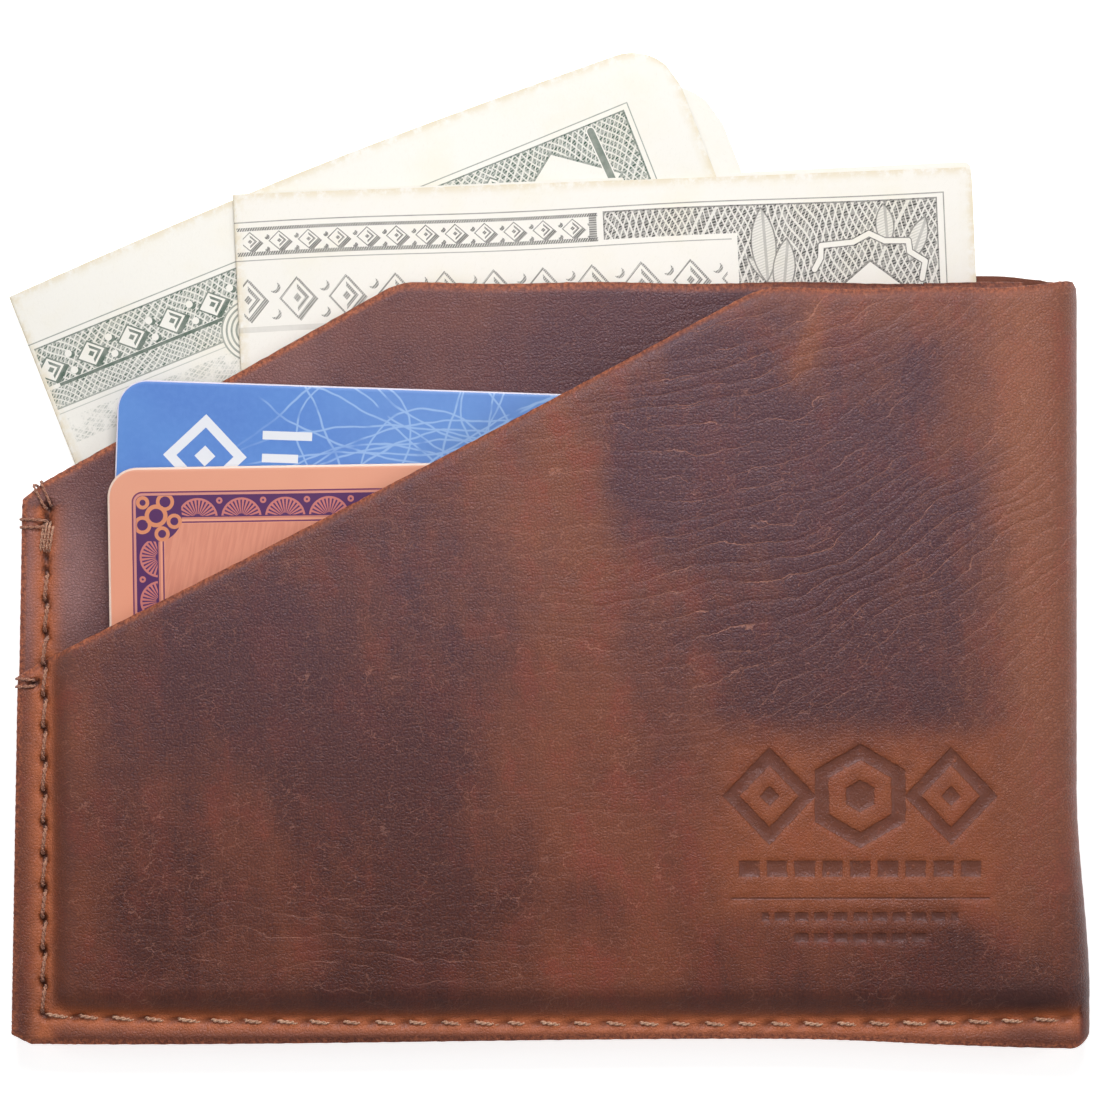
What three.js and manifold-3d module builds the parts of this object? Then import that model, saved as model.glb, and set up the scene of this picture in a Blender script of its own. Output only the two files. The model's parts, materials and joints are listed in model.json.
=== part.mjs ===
// A slim leather wallet with two cards and two folded banknotes in it.
// One strip of leather, folded round at the right, is both the front and the back panel. A divider lies
// between them, and all the layers are sewn together along the left side and the bottom. The cards stand
// in front of the divider, and the notes behind it.
// Millimetres. The wallet lies on its back: +X towards the fold, +Y towards the pocket mouths, +Z out of
// the front panel.
import * as THREE from "three";
import { mergeVertices } from "three/addons/utils/BufferGeometryUtils.js";
import Module from "manifold-3d";

const wasm = await Module();
wasm.setup();

const { smoothstep, mapLinear, lerp, degToRad } = THREE.MathUtils;

// Leather, cards and notes.
const LEATHER = 1.3;
const CARD = { width: 85.6, height: 53.98, thick: 0.76, corner: 3.18 };
const NOTE_LENGTH = 155.96;
const NOTE_HEIGHT = 66.3;
const NOTE_THICK = 0.35; // two leaves of paper and the air in them
const CLEARANCE = 0.15; // between flat pieces that lie on each other in the pockets

// A note's two leaves, from its fold: how far the top edge drops, and how much of the corner is worn off.
const EVEN_FOLD = {
  front: { width: NOTE_LENGTH / 2, drop: 0.6, worn: 0.6 },
  rear: { width: NOTE_LENGTH / 2, drop: 0, worn: 0.6 },
};
const SKEW_FOLD = {
  front: { width: 74.2, drop: 0, worn: 6 },
  rear: { width: 76.9, drop: 4.7, worn: 7 },
};

// The layers over the pockets, from the table up: the underside of each.
const NOTE_REAR_Z = LEATHER + CLEARANCE;
const NOTE_FRONT_Z = NOTE_REAR_Z + NOTE_THICK + CLEARANCE;
const DIVIDER_Z = NOTE_FRONT_Z + NOTE_THICK + CLEARANCE;
const CARD_REAR_Z = DIVIDER_Z + LEATHER + CLEARANCE;
const CARD_FRONT_Z = CARD_REAR_Z + CARD.thick + CLEARANCE;
const FRONT_Z = CARD_FRONT_Z + CARD.thick + CLEARANCE;

// Along the seams the three layers are pressed together, clear of the table.
const SEAM_GAP = 0.2;
const SEAM_BACK_Z = 1.3;
const SEAM_DIVIDER_Z = SEAM_BACK_Z + LEATHER + SEAM_GAP;
const SEAM_FRONT_Z = SEAM_DIVIDER_Z + LEATHER + SEAM_GAP;

// The outline of the leather.
const LEFT = { topX: -55.4, topY: 5.8, bottomX: -56.4, bottomY: -51.9 };
const RIGHT = { x: 55.65, bottomY: -52.4 };
const ARCH = { fromX: -50, topX: 25, toX: 54, height: 0.9, sunk: 0.03 }; // how the bottom edge bows up
const FLARE = { width: 1.35, fromY: -25, toY: -47 }; // the fold runs wide where it is pressed flat
const CORNER_RADIUS = 2.2;
const CORNER_CLIP = { upEdge: 1.1, along: 2.4, belowEdge: 0.1 }; // the bottom left corner, cut off
const FRONT_TOP_Y = 27.35;
const DIVIDER_TOP_Y = 28.05;
const BACK_TOP_Y = 28.9;
const FOLD_TOP_Y = 28.1; // where the sloping top edge goes round the fold
const FRONT_EASE = 8; // the top edges begin to slope this far before the fold
const BACK_EASE = 8;
const FRONT_SLANT = { fromX: -55.6, fromY: -13.4, toX: 22.2 };
const BACK_SLANT = { toX: -15.9, toY: DIVIDER_TOP_Y };
const DIVIDER_RIGHT_X = 50;
const BLANK_TOP_Y = 31; // the strip before its top edge is cut
const BLANK_ROWS_Y = -42; // where its rows become wider

// The seams: a row of awl slots along the left side and one along the bottom, with a shared corner slot.
const CORNER_HOLE = new THREE.Vector2(-53.0, -48.9);
const LEFT_SEAM = { top: new THREE.Vector2(-52.9, 1.0), stitches: 15 };
const BOTTOM_SEAM = { end: new THREE.Vector2(54.2, -49.3), stitches: 31, sag: 0.7 };
const SLOT = { length: 1.5, width: 0.85, lean: degToRad(18) };
const WRAP_SLOT = { length: 0.85, spare: 0.2 }; // spare is its width beyond the two turns of thread
const PRESSED_X = CORNER_HOLE.x + 0.8; // the layers begin to part this far inside the stitches
const PARTED_X = -49.1;
const PRESSED_Y = BOTTOM_SEAM.end.y + 0.1;
const PARTED_Y = -46.0;

const THREAD_RADIUS = 0.25;
const THREAD_SIDES = 5;
const THREAD_LIFT = 0.42; // the thread's middle over the leather between two slots
const THREAD_DIP = 0.45; // and under the surface in a slot
const THREAD_PLACES = [0.2, 0.5, 0.8]; // its points between two slots, as shares of a stitch
const THREAD_BEND = 0.35; // where a thread turns a corner round an edge
const THREAD_TAIL = 0.8; // from its end in the slot to the middle of the layers
const WRAP_SPACING = 0.6; // between the two turns of a thread round an edge
const SLANT_STITCH = 0.75; // the stitch this far over the long slant still lies on the front panel

const FOLD_STEPS = 12;
const CURVE_STEPS = 6;
const ARCH_STEPS = 20;
const COLOURS = {
  leather: { color: 0x6b3a2a, roughness: 0.55, metalness: 0 },
  divider: { color: 0x6e4f4c, roughness: 0.6, metalness: 0 },
  thread: { color: 0xd9b49a, roughness: 0.85, metalness: 0 },
  orange: { color: 0xe9a184, roughness: 0.35, metalness: 0 },
  blue: { color: 0x5b8fd6, roughness: 0.35, metalness: 0 },
  paper: { color: 0xf1ebdf, roughness: 0.85, metalness: 0 },
};

// ---- Solids ----

function solid(geometry) {
  const bare = geometry.clone();
  bare.deleteAttribute("normal");
  bare.deleteAttribute("uv");
  const merged = mergeVertices(bare, 1e-4);
  return new wasm.Manifold(
    new wasm.Mesh({
      numProp: 3,
      vertProperties: merged.attributes.position.array,
      triVerts: new Uint32Array(merged.index.array),
    }),
  );
}

function geometryOf(manifold) {
  const { vertProperties, triVerts } = manifold.getMesh();
  const geometry = new THREE.BufferGeometry();
  geometry.setAttribute("position", new THREE.BufferAttribute(vertProperties, 3));
  geometry.setIndex(new THREE.BufferAttribute(triVerts, 1));
  geometry.computeVertexNormals();
  return geometry;
}

const group = new THREE.Group();

function add(name, geometry, look) {
  const mesh = new THREE.Mesh(geometry, new THREE.MeshStandardMaterial(look));
  mesh.name = name;
  group.add(mesh);
  return mesh;
}

function prism(shape, low, high) {
  const geometry = new THREE.ExtrudeGeometry(shape, {
    depth: high - low,
    bevelEnabled: false,
    curveSegments: CURVE_STEPS,
  });
  return geometry.translate(0, 0, low);
}

// ---- The leather's edges and layers ----

const leftX = (y) => mapLinear(y, LEFT.topY, LEFT.bottomY, LEFT.topX, LEFT.bottomX);
const bottomY = (x) => mapLinear(x, LEFT.bottomX, RIGHT.x, LEFT.bottomY, RIGHT.bottomY);
const rightX = (y) => RIGHT.x + FLARE.width * smoothstep(-y, -FLARE.fromY, -FLARE.toY);

// 0 where the seams press the layers together, 1 over the pockets.
const parted = (x, y) => smoothstep(x, PRESSED_X, PARTED_X) * smoothstep(y, PRESSED_Y, PARTED_Y);
const frontZ = (x, y) => lerp(SEAM_FRONT_Z, FRONT_Z, parted(x, y));
const dividerZ = (x, y) => lerp(SEAM_DIVIDER_Z, DIVIDER_Z, parted(x, y));
const backZ = (x, y) => lerp(SEAM_BACK_Z, 0, parted(x, y));

// Grid lines, closer together where the leather bends.
const steps = (from, to, count) =>
  Array.from({ length: count + 1 }, (_, i) => lerp(from, to, i / count));
const ACROSS = [LEFT.bottomX, ...steps(PRESSED_X, PARTED_X, 6), 0];
const UP = [
  RIGHT.bottomY,
  ...steps(PRESSED_Y, PARTED_Y, 6),
  ...steps(BLANK_ROWS_Y, FLARE.fromY, 4),
  LEFT.topY,
  BLANK_TOP_Y,
];

// A box with a grid of points on its faces, each moved to place(column, row, side), side 0 or 1.
function gridBox(columns, rows, place) {
  const box = new THREE.BoxGeometry(1, 1, 1, columns, rows, 1);
  const position = box.attributes.position;
  for (let i = 0; i < position.count; i++) {
    const column = Math.round((position.getX(i) + 0.5) * columns);
    const row = Math.round((position.getY(i) + 0.5) * rows);
    const side = Math.round(position.getZ(i) + 0.5);
    position.setXYZ(i, ...place(column, row, side));
  }
  return box;
}

// The outline's own x and y for a grid point: the first column and row follow the cut edges.
function edged(column, row, x) {
  const y = row === 0 ? bottomY(x) : UP[row];
  return [column === 0 ? leftX(y) : x, y];
}

function wrapBlank() {
  const flat = ACROSS.length;
  const columns = 2 * flat + FOLD_STEPS - 1;
  return gridBox(columns, UP.length - 1, (column, row, side) => {
    const turn = column - flat;
    if (turn >= 0 && turn <= FOLD_STEPS) {
      const y = row === 0 ? RIGHT.bottomY : UP[row];
      const high = frontZ(RIGHT.x, y);
      const low = backZ(RIGHT.x, y) + LEATHER;
      const inner = (high - low) / 2;
      const radius = inner + side * LEATHER;
      const angle = Math.PI * (0.5 - turn / FOLD_STEPS);
      const start = rightX(y) - inner - LEATHER;
      return [start + radius * Math.cos(angle), y, (high + low) / 2 + radius * Math.sin(angle)];
    }
    const front = turn < 0;
    const place = front ? column : columns - column;
    const [x, y] = edged(place, row, ACROSS[place]);
    const z = front ? frontZ(x, y) + side * LEATHER : backZ(x, y) + (1 - side) * LEATHER;
    return [x, y, z];
  });
}

function dividerBlank() {
  const across = [...ACROSS, DIVIDER_RIGHT_X];
  return gridBox(across.length - 1, UP.length - 1, (column, row, side) => {
    const [x, y] = edged(column, row, across[column]);
    return [x, y, dividerZ(x, y) + side * LEATHER];
  });
}

// ---- Cuts ----

const BEYOND = 70; // outside the leather on every side
const SPARE = 2; // how far a corner's cut reaches outside it
const FOLD_MID_Z = (FRONT_Z + LEATHER) / 2;

function topCut(points, low, high) {
  const shape = new THREE.Shape(points.map(([x, y]) => new THREE.Vector2(x, y)));
  return solid(prism(shape, low, high));
}

// The long slant and top edge of the front panel.
function frontCut(low, high) {
  const { fromX, fromY, toX } = FRONT_SLANT;
  const slope = (FRONT_TOP_Y - fromY) / (toX - fromX);
  const outline = [
    [-BEYOND, fromY - (BEYOND + fromX) * slope],
    [toX, FRONT_TOP_Y],
    [RIGHT.x - FRONT_EASE, FRONT_TOP_Y],
    [RIGHT.x, FOLD_TOP_Y],
    [BEYOND, FOLD_TOP_Y],
    [BEYOND, BEYOND],
    [-BEYOND, BEYOND],
  ];
  return topCut(outline, low, high);
}

// The short slant and top edge of the back panel, and of the divider.
function backCut(topY, endY, low, high) {
  const slope = (BACK_SLANT.toY - LEFT.topY) / (BACK_SLANT.toX - LEFT.topX);
  const cornerX = BACK_SLANT.toX + (topY - BACK_SLANT.toY) / slope;
  const outline = [
    [-BEYOND, LEFT.topY - (BEYOND + LEFT.topX) * slope],
    [cornerX, topY],
    [RIGHT.x - BACK_EASE, topY],
    [RIGHT.x, endY],
    [BEYOND, endY],
    [BEYOND, BEYOND],
    [-BEYOND, BEYOND],
  ];
  return topCut(outline, low, high);
}

// How far the bottom edge is above a straight line.
const archY = (x) =>
  ARCH.height * smoothstep(x, ARCH.fromX, ARCH.topX) * (1 - smoothstep(x, ARCH.topX, ARCH.toX));

// The bowed bottom edge, its rounded corner at the fold and its clipped one at the left.
function bottomCuts() {
  const x = rightX(RIGHT.bottomY);
  const y = RIGHT.bottomY;
  const round = new THREE.Shape();
  round.moveTo(x - CORNER_RADIUS, y);
  round.absarc(x - CORNER_RADIUS, y + CORNER_RADIUS, CORNER_RADIUS, -Math.PI / 2, 0, false);
  round.lineTo(x + SPARE, y + CORNER_RADIUS);
  round.lineTo(x + SPARE, y - SPARE);
  round.lineTo(x - CORNER_RADIUS, y - SPARE);
  const clip = new THREE.Shape();
  const outside = LEFT.bottomX - SPARE / 2;
  clip.moveTo(outside, LEFT.bottomY + CORNER_CLIP.upEdge);
  clip.lineTo(LEFT.bottomX + CORNER_CLIP.along, LEFT.bottomY - CORNER_CLIP.belowEdge);
  clip.lineTo(LEFT.bottomX + CORNER_CLIP.along, LEFT.bottomY - SPARE);
  clip.lineTo(outside, LEFT.bottomY - SPARE);
  const arch = new THREE.Shape(
    steps(ARCH.fromX, ARCH.toX, ARCH_STEPS).map(
      (at) => new THREE.Vector2(at, bottomY(at) + archY(at) - ARCH.sunk),
    ),
  );
  arch.lineTo(ARCH.toX, y - SPARE);
  arch.lineTo(ARCH.fromX, y - SPARE);
  return [round, clip, arch]
    .map((shape) => solid(prism(shape, -SPARE, BEYOND)))
    .reduce((all, cut) => all.add(cut));
}

// ---- Stitching ----

const alongSeam = (from, to, stitches) =>
  steps(0, 1, stitches).map((t) => from.clone().lerp(to, t));
const leftHoles = alongSeam(LEFT_SEAM.top, CORNER_HOLE, LEFT_SEAM.stitches);
// The bottom row sags between its ends, evenly except near them.
const sagAt = (t) => BOTTOM_SEAM.sag * (1 - (2 * t - 1) ** 4);
const bottomHoles = alongSeam(CORNER_HOLE, BOTTOM_SEAM.end, BOTTOM_SEAM.stitches).map((hole, i) =>
  hole.setY(hole.y - sagAt(i / BOTTOM_SEAM.stitches)),
);
const holes = [...leftHoles, ...bottomHoles.slice(1)];

const SLOT_DEPTH = 20; // of the cutter, more than all the layers

function slot(centre, along, length, width) {
  const box = new THREE.BoxGeometry(length, width, SLOT_DEPTH);
  box.rotateZ(along).translate(centre.x, centre.y, 0);
  return solid(box);
}

// A thread wound twice round an edge: through a slot in the leather, out over the front face and back
// along the underside.
const WRAPS = [
  { name: "edge_wrap_top", hole: [-52.6, 4.4], out: [-0.44, 0.898], reach: 2.75, layers: 2 },
  { name: "edge_wrap_side", hole: [-52.9, 2.75], out: [-1, 0], reach: 2.6, layers: 2 },
  { name: "edge_wrap_lower", hole: [-53.95, -14.0], out: [-1, 0], reach: 1.85, layers: 3 },
].map((wrap) => ({
  ...wrap,
  hole: new THREE.Vector2(...wrap.hole),
  out: new THREE.Vector2(...wrap.out).normalize(),
}));

function slots() {
  const corner = leftHoles.length - 1;
  const rows = holes.map((hole, i) => {
    const seam = i < corner ? -Math.PI / 2 : 0;
    const lean = i === corner ? -Math.PI / 4 : seam + SLOT.lean;
    return slot(hole, lean, SLOT.length, SLOT.width);
  });
  const width = WRAP_SPACING + 2 * THREAD_RADIUS + WRAP_SLOT.spare;
  const wrapSlots = WRAPS.map(({ hole, out }) => slot(hole, out.angle(), WRAP_SLOT.length, width));
  return [...rows, ...wrapSlots];
}

// A curve that runs straight from each of its points to the next.
class Route extends THREE.Curve {
  constructor(points) {
    super();
    this.points = points;
  }
  getPoint(t, target = new THREE.Vector3()) {
    const last = this.points.length - 1;
    const index = Math.min(Math.floor(t * last), last - 1);
    return target.lerpVectors(this.points[index], this.points[index + 1], t * last - index);
  }
  getUtoTmapping(u) {
    return u;
  }
}

function thread(points) {
  const corners = steps(0, 2 * Math.PI, THREAD_SIDES).slice(0, THREAD_SIDES);
  const section = new THREE.Shape(
    corners.map((a) => new THREE.Vector2(Math.cos(a), Math.sin(a)).multiplyScalar(THREAD_RADIUS)),
  );
  return new THREE.ExtrudeGeometry(section, {
    steps: points.length - 1,
    bevelEnabled: false,
    extrudePath: new Route(points),
  });
}

// The top of the leather under the front thread: the front panel begins below its long slant.
function frontFace(x, y) {
  const { fromX, fromY, toX } = FRONT_SLANT;
  const slant = mapLinear(x, fromX, toX, fromY, FRONT_TOP_Y);
  const below = y < slant + SLANT_STITCH;
  return (below ? SEAM_FRONT_Z : SEAM_DIVIDER_Z) + LEATHER;
}

// The running thread on one face: it dips into every slot and lies on the leather between them.
function runningThread(face, side) {
  const points = [];
  holes.forEach((hole, i) => {
    points.push(new THREE.Vector3(hole.x, hole.y, face(hole.x, hole.y) - side * THREAD_DIP));
    if (i === holes.length - 1) return;
    for (const t of THREAD_PLACES) {
      const p = hole.clone().lerp(holes[i + 1], t);
      points.push(new THREE.Vector3(p.x, p.y, face(p.x, p.y) + side * THREAD_LIFT));
    }
  });
  return thread(points);
}

function wrapThread({ hole, out, reach, layers }) {
  const sideways = new THREE.Vector2(-out.y, out.x);
  const topZ = (layers === 3 ? SEAM_FRONT_Z : SEAM_DIVIDER_Z) + LEATHER;
  const high = topZ + THREAD_LIFT;
  const low = SEAM_BACK_Z - THREAD_LIFT;
  const far = reach + THREAD_LIFT;
  const points = [];
  const point = (along, across, z) => {
    const p = hole.clone().addScaledVector(out, along).addScaledVector(sideways, across);
    points.push(new THREE.Vector3(p.x, p.y, z));
  };
  const middle = (high + low) / 2;
  for (const turn of [0, 1]) {
    const across = (turn - 0.5) * WRAP_SPACING;
    if (turn === 0) point(0, across, middle);
    point(0, across, high - THREAD_BEND);
    point(THREAD_BEND, across, high);
    point(far - THREAD_BEND, across, high);
    point(far, across, high - THREAD_BEND);
    point(far, across, low + THREAD_BEND);
    point(far - THREAD_BEND, across, low);
    if (turn === 1) {
      point(THREAD_BEND, across, low);
      point(0, across, low + THREAD_BEND);
      point(0, across, middle - THREAD_TAIL);
      continue;
    }
    point(THREAD_BEND, across + WRAP_SPACING, low);
    point(0, across + WRAP_SPACING, low + THREAD_BEND);
  }
  return thread(points);
}

// ---- Cards and notes ----

function cardOutline({ width, height, corner }) {
  const shape = new THREE.Shape();
  const right = Math.PI / 2;
  shape.moveTo(corner, -height);
  shape.absarc(width - corner, corner - height, corner, -right, 0, false);
  shape.absarc(width - corner, -corner, corner, 0, right, false);
  shape.absarc(corner, -corner, corner, right, 2 * right, false);
  shape.absarc(corner, corner - height, corner, 2 * right, 3 * right, false);
  return shape;
}

// One leaf of a folded note: its fold is on the left, its top edge drops towards the right, and its top
// right corner is worn round.
function leafOutline({ width, drop, worn }) {
  const shape = new THREE.Shape();
  shape.moveTo(0, -NOTE_HEIGHT);
  shape.lineTo(width, -NOTE_HEIGHT);
  shape.lineTo(width, -drop - worn);
  shape.quadraticCurveTo(width, -drop, width - worn, (-drop * (width - worn)) / width);
  shape.lineTo(0, 0);
  return shape;
}

// A piece in a pocket, placed by its top left corner and turned by its tilt.
function inPocket(name, geometry, look, { x, y, z, tilt }) {
  const mesh = add(name, geometry, look);
  mesh.position.set(x, y, z);
  mesh.rotation.z = degToRad(tilt);
}

// A banknote folded at its left edge, its two leaves pressed together.
function noteGeometry(fold) {
  const half = NOTE_THICK / 2;
  const front = solid(prism(leafOutline(fold.front), half, NOTE_THICK));
  const rear = solid(prism(leafOutline(fold.rear), 0, half));
  return geometryOf(rear.add(front));
}

// ---- The assembly ----

const allSlots = slots();
const corners = bottomCuts();
const pierced = (manifold) => allSlots.reduce((piece, hole) => piece.subtract(hole), manifold);

const wrap = solid(wrapBlank())
  .subtract(frontCut(FOLD_MID_Z, BEYOND))
  .subtract(backCut(BACK_TOP_Y, FOLD_TOP_Y, -BEYOND, FOLD_MID_Z))
  .subtract(corners);
const divider = solid(dividerBlank())
  .subtract(backCut(DIVIDER_TOP_Y, DIVIDER_TOP_Y, -BEYOND, BEYOND))
  .subtract(corners);

add("outer_wrap", geometryOf(pierced(wrap)), COLOURS.leather);
add("divider_panel", geometryOf(pierced(divider)), COLOURS.divider);

add("seam_thread_front", runningThread(frontFace, 1), COLOURS.thread);
add("seam_thread_back", runningThread(() => SEAM_BACK_Z, -1), COLOURS.thread);
for (const wrapped of WRAPS) add(wrapped.name, wrapThread(wrapped), COLOURS.thread);

const card = prism(cardOutline(CARD), 0, CARD.thick);
inPocket("card_front", card, COLOURS.orange, { x: -46.35, y: 8.55, z: CARD_FRONT_Z, tilt: 0.9 });
inPocket("card_rear", card.clone(), COLOURS.blue, { x: -45.25, y: 17.95, z: CARD_REAR_Z, tilt: -1.95 });

const evenFold = noteGeometry(EVEN_FOLD);
inPocket("note_front", evenFold, COLOURS.paper, { x: -33.3, y: 37.5, z: NOTE_FRONT_Z, tilt: 2.55 });

const skewFold = noteGeometry(SKEW_FOLD);
inPocket("note_rear", skewFold, COLOURS.paper, { x: -57.0, y: 26.7, z: NOTE_REAR_Z, tilt: 21.5 });

export default group;
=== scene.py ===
import json
import math
from functools import reduce

import bmesh
import bpy
import numpy as np
from mathutils import Matrix, Vector

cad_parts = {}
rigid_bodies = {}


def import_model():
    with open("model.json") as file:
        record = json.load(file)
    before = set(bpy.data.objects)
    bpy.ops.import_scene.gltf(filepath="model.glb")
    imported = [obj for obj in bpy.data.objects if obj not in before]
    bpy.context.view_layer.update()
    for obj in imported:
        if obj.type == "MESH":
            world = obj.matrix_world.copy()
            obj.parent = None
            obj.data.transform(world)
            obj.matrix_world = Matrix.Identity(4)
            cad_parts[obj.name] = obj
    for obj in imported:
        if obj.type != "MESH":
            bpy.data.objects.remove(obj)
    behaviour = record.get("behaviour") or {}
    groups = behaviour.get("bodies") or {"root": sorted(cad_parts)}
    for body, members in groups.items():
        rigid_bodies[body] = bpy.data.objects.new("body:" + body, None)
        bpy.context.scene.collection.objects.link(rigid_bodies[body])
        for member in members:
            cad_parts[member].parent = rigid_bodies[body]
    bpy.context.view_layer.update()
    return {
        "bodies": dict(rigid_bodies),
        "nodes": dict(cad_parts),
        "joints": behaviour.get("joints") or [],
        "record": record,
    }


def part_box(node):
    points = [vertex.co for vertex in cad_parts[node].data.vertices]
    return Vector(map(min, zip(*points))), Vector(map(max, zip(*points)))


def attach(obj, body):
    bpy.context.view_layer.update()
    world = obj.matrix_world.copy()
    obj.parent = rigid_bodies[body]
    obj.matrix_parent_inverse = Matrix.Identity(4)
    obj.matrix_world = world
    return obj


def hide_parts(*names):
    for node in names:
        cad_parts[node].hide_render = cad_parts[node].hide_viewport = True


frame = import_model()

# A slim leather wallet with two cards and two folded banknotes, lying on a white table and seen from above.
# Lengths are in millimetres in this script, and become metres when a mesh is made.
MM = 0.001


def node_box(name):
    low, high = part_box(name)
    return np.array(low) / MM, np.array(high) / MM


def smooth(t):
    t = np.clip(t, 0, 1)
    return t * t * (3 - 2 * t)


def lerp(a, b, t):
    return a + (b - a) * t


def turned(x, y, centre, angle):
    """How far a point is from centre, along and across an axis at that angle."""
    dx, dy = x - centre[0], y - centre[1]
    return dx * math.cos(angle) + dy * math.sin(angle), dy * math.cos(angle) - dx * math.sin(angle)


# ---- Sizes that come from the frame ----

WRAP_LOW, WRAP_HIGH = node_box("outer_wrap")
DIVIDER_LOW, DIVIDER_HIGH = node_box("divider_panel")
THREAD_LOW, THREAD_HIGH = node_box("seam_thread_front")

LEATHER = 1.3
THREAD_RADIUS = 0.25
SEAM_GAP = 0.2

FRONT_Z = WRAP_HIGH[2] - LEATHER  # undersides over the pockets
DIVIDER_Z = DIVIDER_LOW[2]
SEAM_DIVIDER_Z = DIVIDER_HIGH[2] - LEATHER  # and along the seams
SEAM_FRONT_Z = SEAM_DIVIDER_Z + LEATHER + SEAM_GAP
SEAM_BACK_Z = SEAM_DIVIDER_Z - LEATHER - SEAM_GAP

LEFT_X = WRAP_LOW[0]
RIGHT_X = WRAP_HIGH[0]  # where the fold is pressed wide at the bottom
LEFT_LEAN = 1.0  # the left edge leans in by this at its top
BOTTOM_Y = WRAP_LOW[1]
LEFT_RISE = 0.5  # the bottom edge is this much higher at the left
BOTTOM_ARCH = 0.9  # and bows up by this between ARCH_FROM_X and ARCH_TO_X, most at ARCH_TOP_X
ARCH_FROM_X, ARCH_TOP_X, ARCH_TO_X = -50.0, 25.0, 54.0
CORNER_RADIUS = 2.4
CORNER_CLIP = 1.5  # the bottom left corner is cut off this far up
BACK_TOP_Y = WRAP_HIGH[1]
DIVIDER_TOP_Y = DIVIDER_HIGH[1]
DIVIDER_RIGHT_X = DIVIDER_HIGH[0]
FOLD_X = RIGHT_X - 1.35  # the fold's outer side above the flare
FLARE_FROM_Y, FLARE_TO_Y = -25.0, -47.0
FRONT_TOP_Y = BACK_TOP_Y - 1.55
FOLD_TOP_Y = BACK_TOP_Y - 0.8
FRONT_EASE, BACK_EASE = 11.0, 9.0  # the top edges begin to change height this far before the fold
SLANT_LEFT_Y = 5.8  # where the short slant meets the left edge
FRONT_SLANT_LEFT_Y = -13.4
FRONT_SLANT_RIGHT_X = 22.2
SHORT_SLANT_RIGHT_X = -15.9

SEAM_X = THREAD_LOW[0] + THREAD_RADIUS
SEAM_RIGHT_X = THREAD_HIGH[0] - 0.1
SEAM_TOP_Y = THREAD_HIGH[1] - 0.1
CORNER_Y = -48.9
SEAM_RIGHT_Y = -49.3
LEFT_STITCHES, BOTTOM_STITCHES = 15, 31
SEAM_SAG = 0.7  # of the bottom row between its ends
PRESSED_X, PARTED_X = SEAM_X + 0.8, -49.1
PRESSED_Y, PARTED_Y = -49.2, -46.0


# ---- Shaders written as arithmetic ----

def operation(kind):
    return lambda self, *others: self.math(kind, *others)


class Value:
    """A number made by shader nodes. Sums and products of Values add Math nodes to the tree."""

    def __init__(self, tree, socket):
        self.tree, self.socket = tree, socket

    def math(self, kind, *others, clamp=False):
        made = self.tree.nodes.new("ShaderNodeMath")
        made.operation = kind
        made.use_clamp = clamp
        for place, value in enumerate((self, *others)):
            if isinstance(value, Value):
                self.tree.links.new(value.socket, made.inputs[place])
            else:
                made.inputs[place].default_value = float(value)
        return Value(self.tree, made.outputs[0])

    __add__ = __radd__ = operation("ADD")
    __mul__ = __rmul__ = operation("MULTIPLY")
    __sub__ = operation("SUBTRACT")
    __truediv__ = operation("DIVIDE")
    abs = operation("ABSOLUTE")
    sin = operation("SINE")
    fract = operation("FRACT")
    sqrt = operation("SQRT")
    max = operation("MAXIMUM")
    min = operation("MINIMUM")
    less = operation("LESS_THAN")
    more = operation("GREATER_THAN")
    arctan2 = operation("ARCTAN2")

    def __rsub__(self, other):
        return self * -1.0 + other

    def clamp(self):
        return self.math("ADD", 0.0, clamp=True)

    def between(self, low, high):
        return self.more(low) * self.less(high)

    def near(self, middle, width):
        return (self - middle).abs().less(width / 2)

    def mixed(self, a, b):
        """a where this is 0, b where it is 1."""
        return a + (b - a) * self

    def ramp(self, low, high):
        """0 below low, 1 above high, smooth between them."""
        made = self.tree.nodes.new("ShaderNodeMapRange")
        made.interpolation_type = "SMOOTHSTEP"
        self.tree.links.new(self.socket, made.inputs["Value"])
        made.inputs["From Min"].default_value = low
        made.inputs["From Max"].default_value = high
        return Value(self.tree, made.outputs["Result"])


def most(*values):
    """The greatest of the values at each point."""
    return reduce(Value.max, values)


def distance(a, b):
    return (a * a + b * b).sqrt()


def repeated(run, pitch):
    """How far run is from the middle of its own cell, in a row of cells pitch wide."""
    return ((run / pitch).fract() - 0.5) * pitch


def linear(r, g, b):
    """A colour as it looks, from 0 to 255, as the shader's numbers."""
    def one(c):
        c /= 255
        return c / 12.92 if c <= 0.04045 else ((c + 0.055) / 1.055) ** 2.4
    return one(r), one(g), one(b), 1.0


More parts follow.
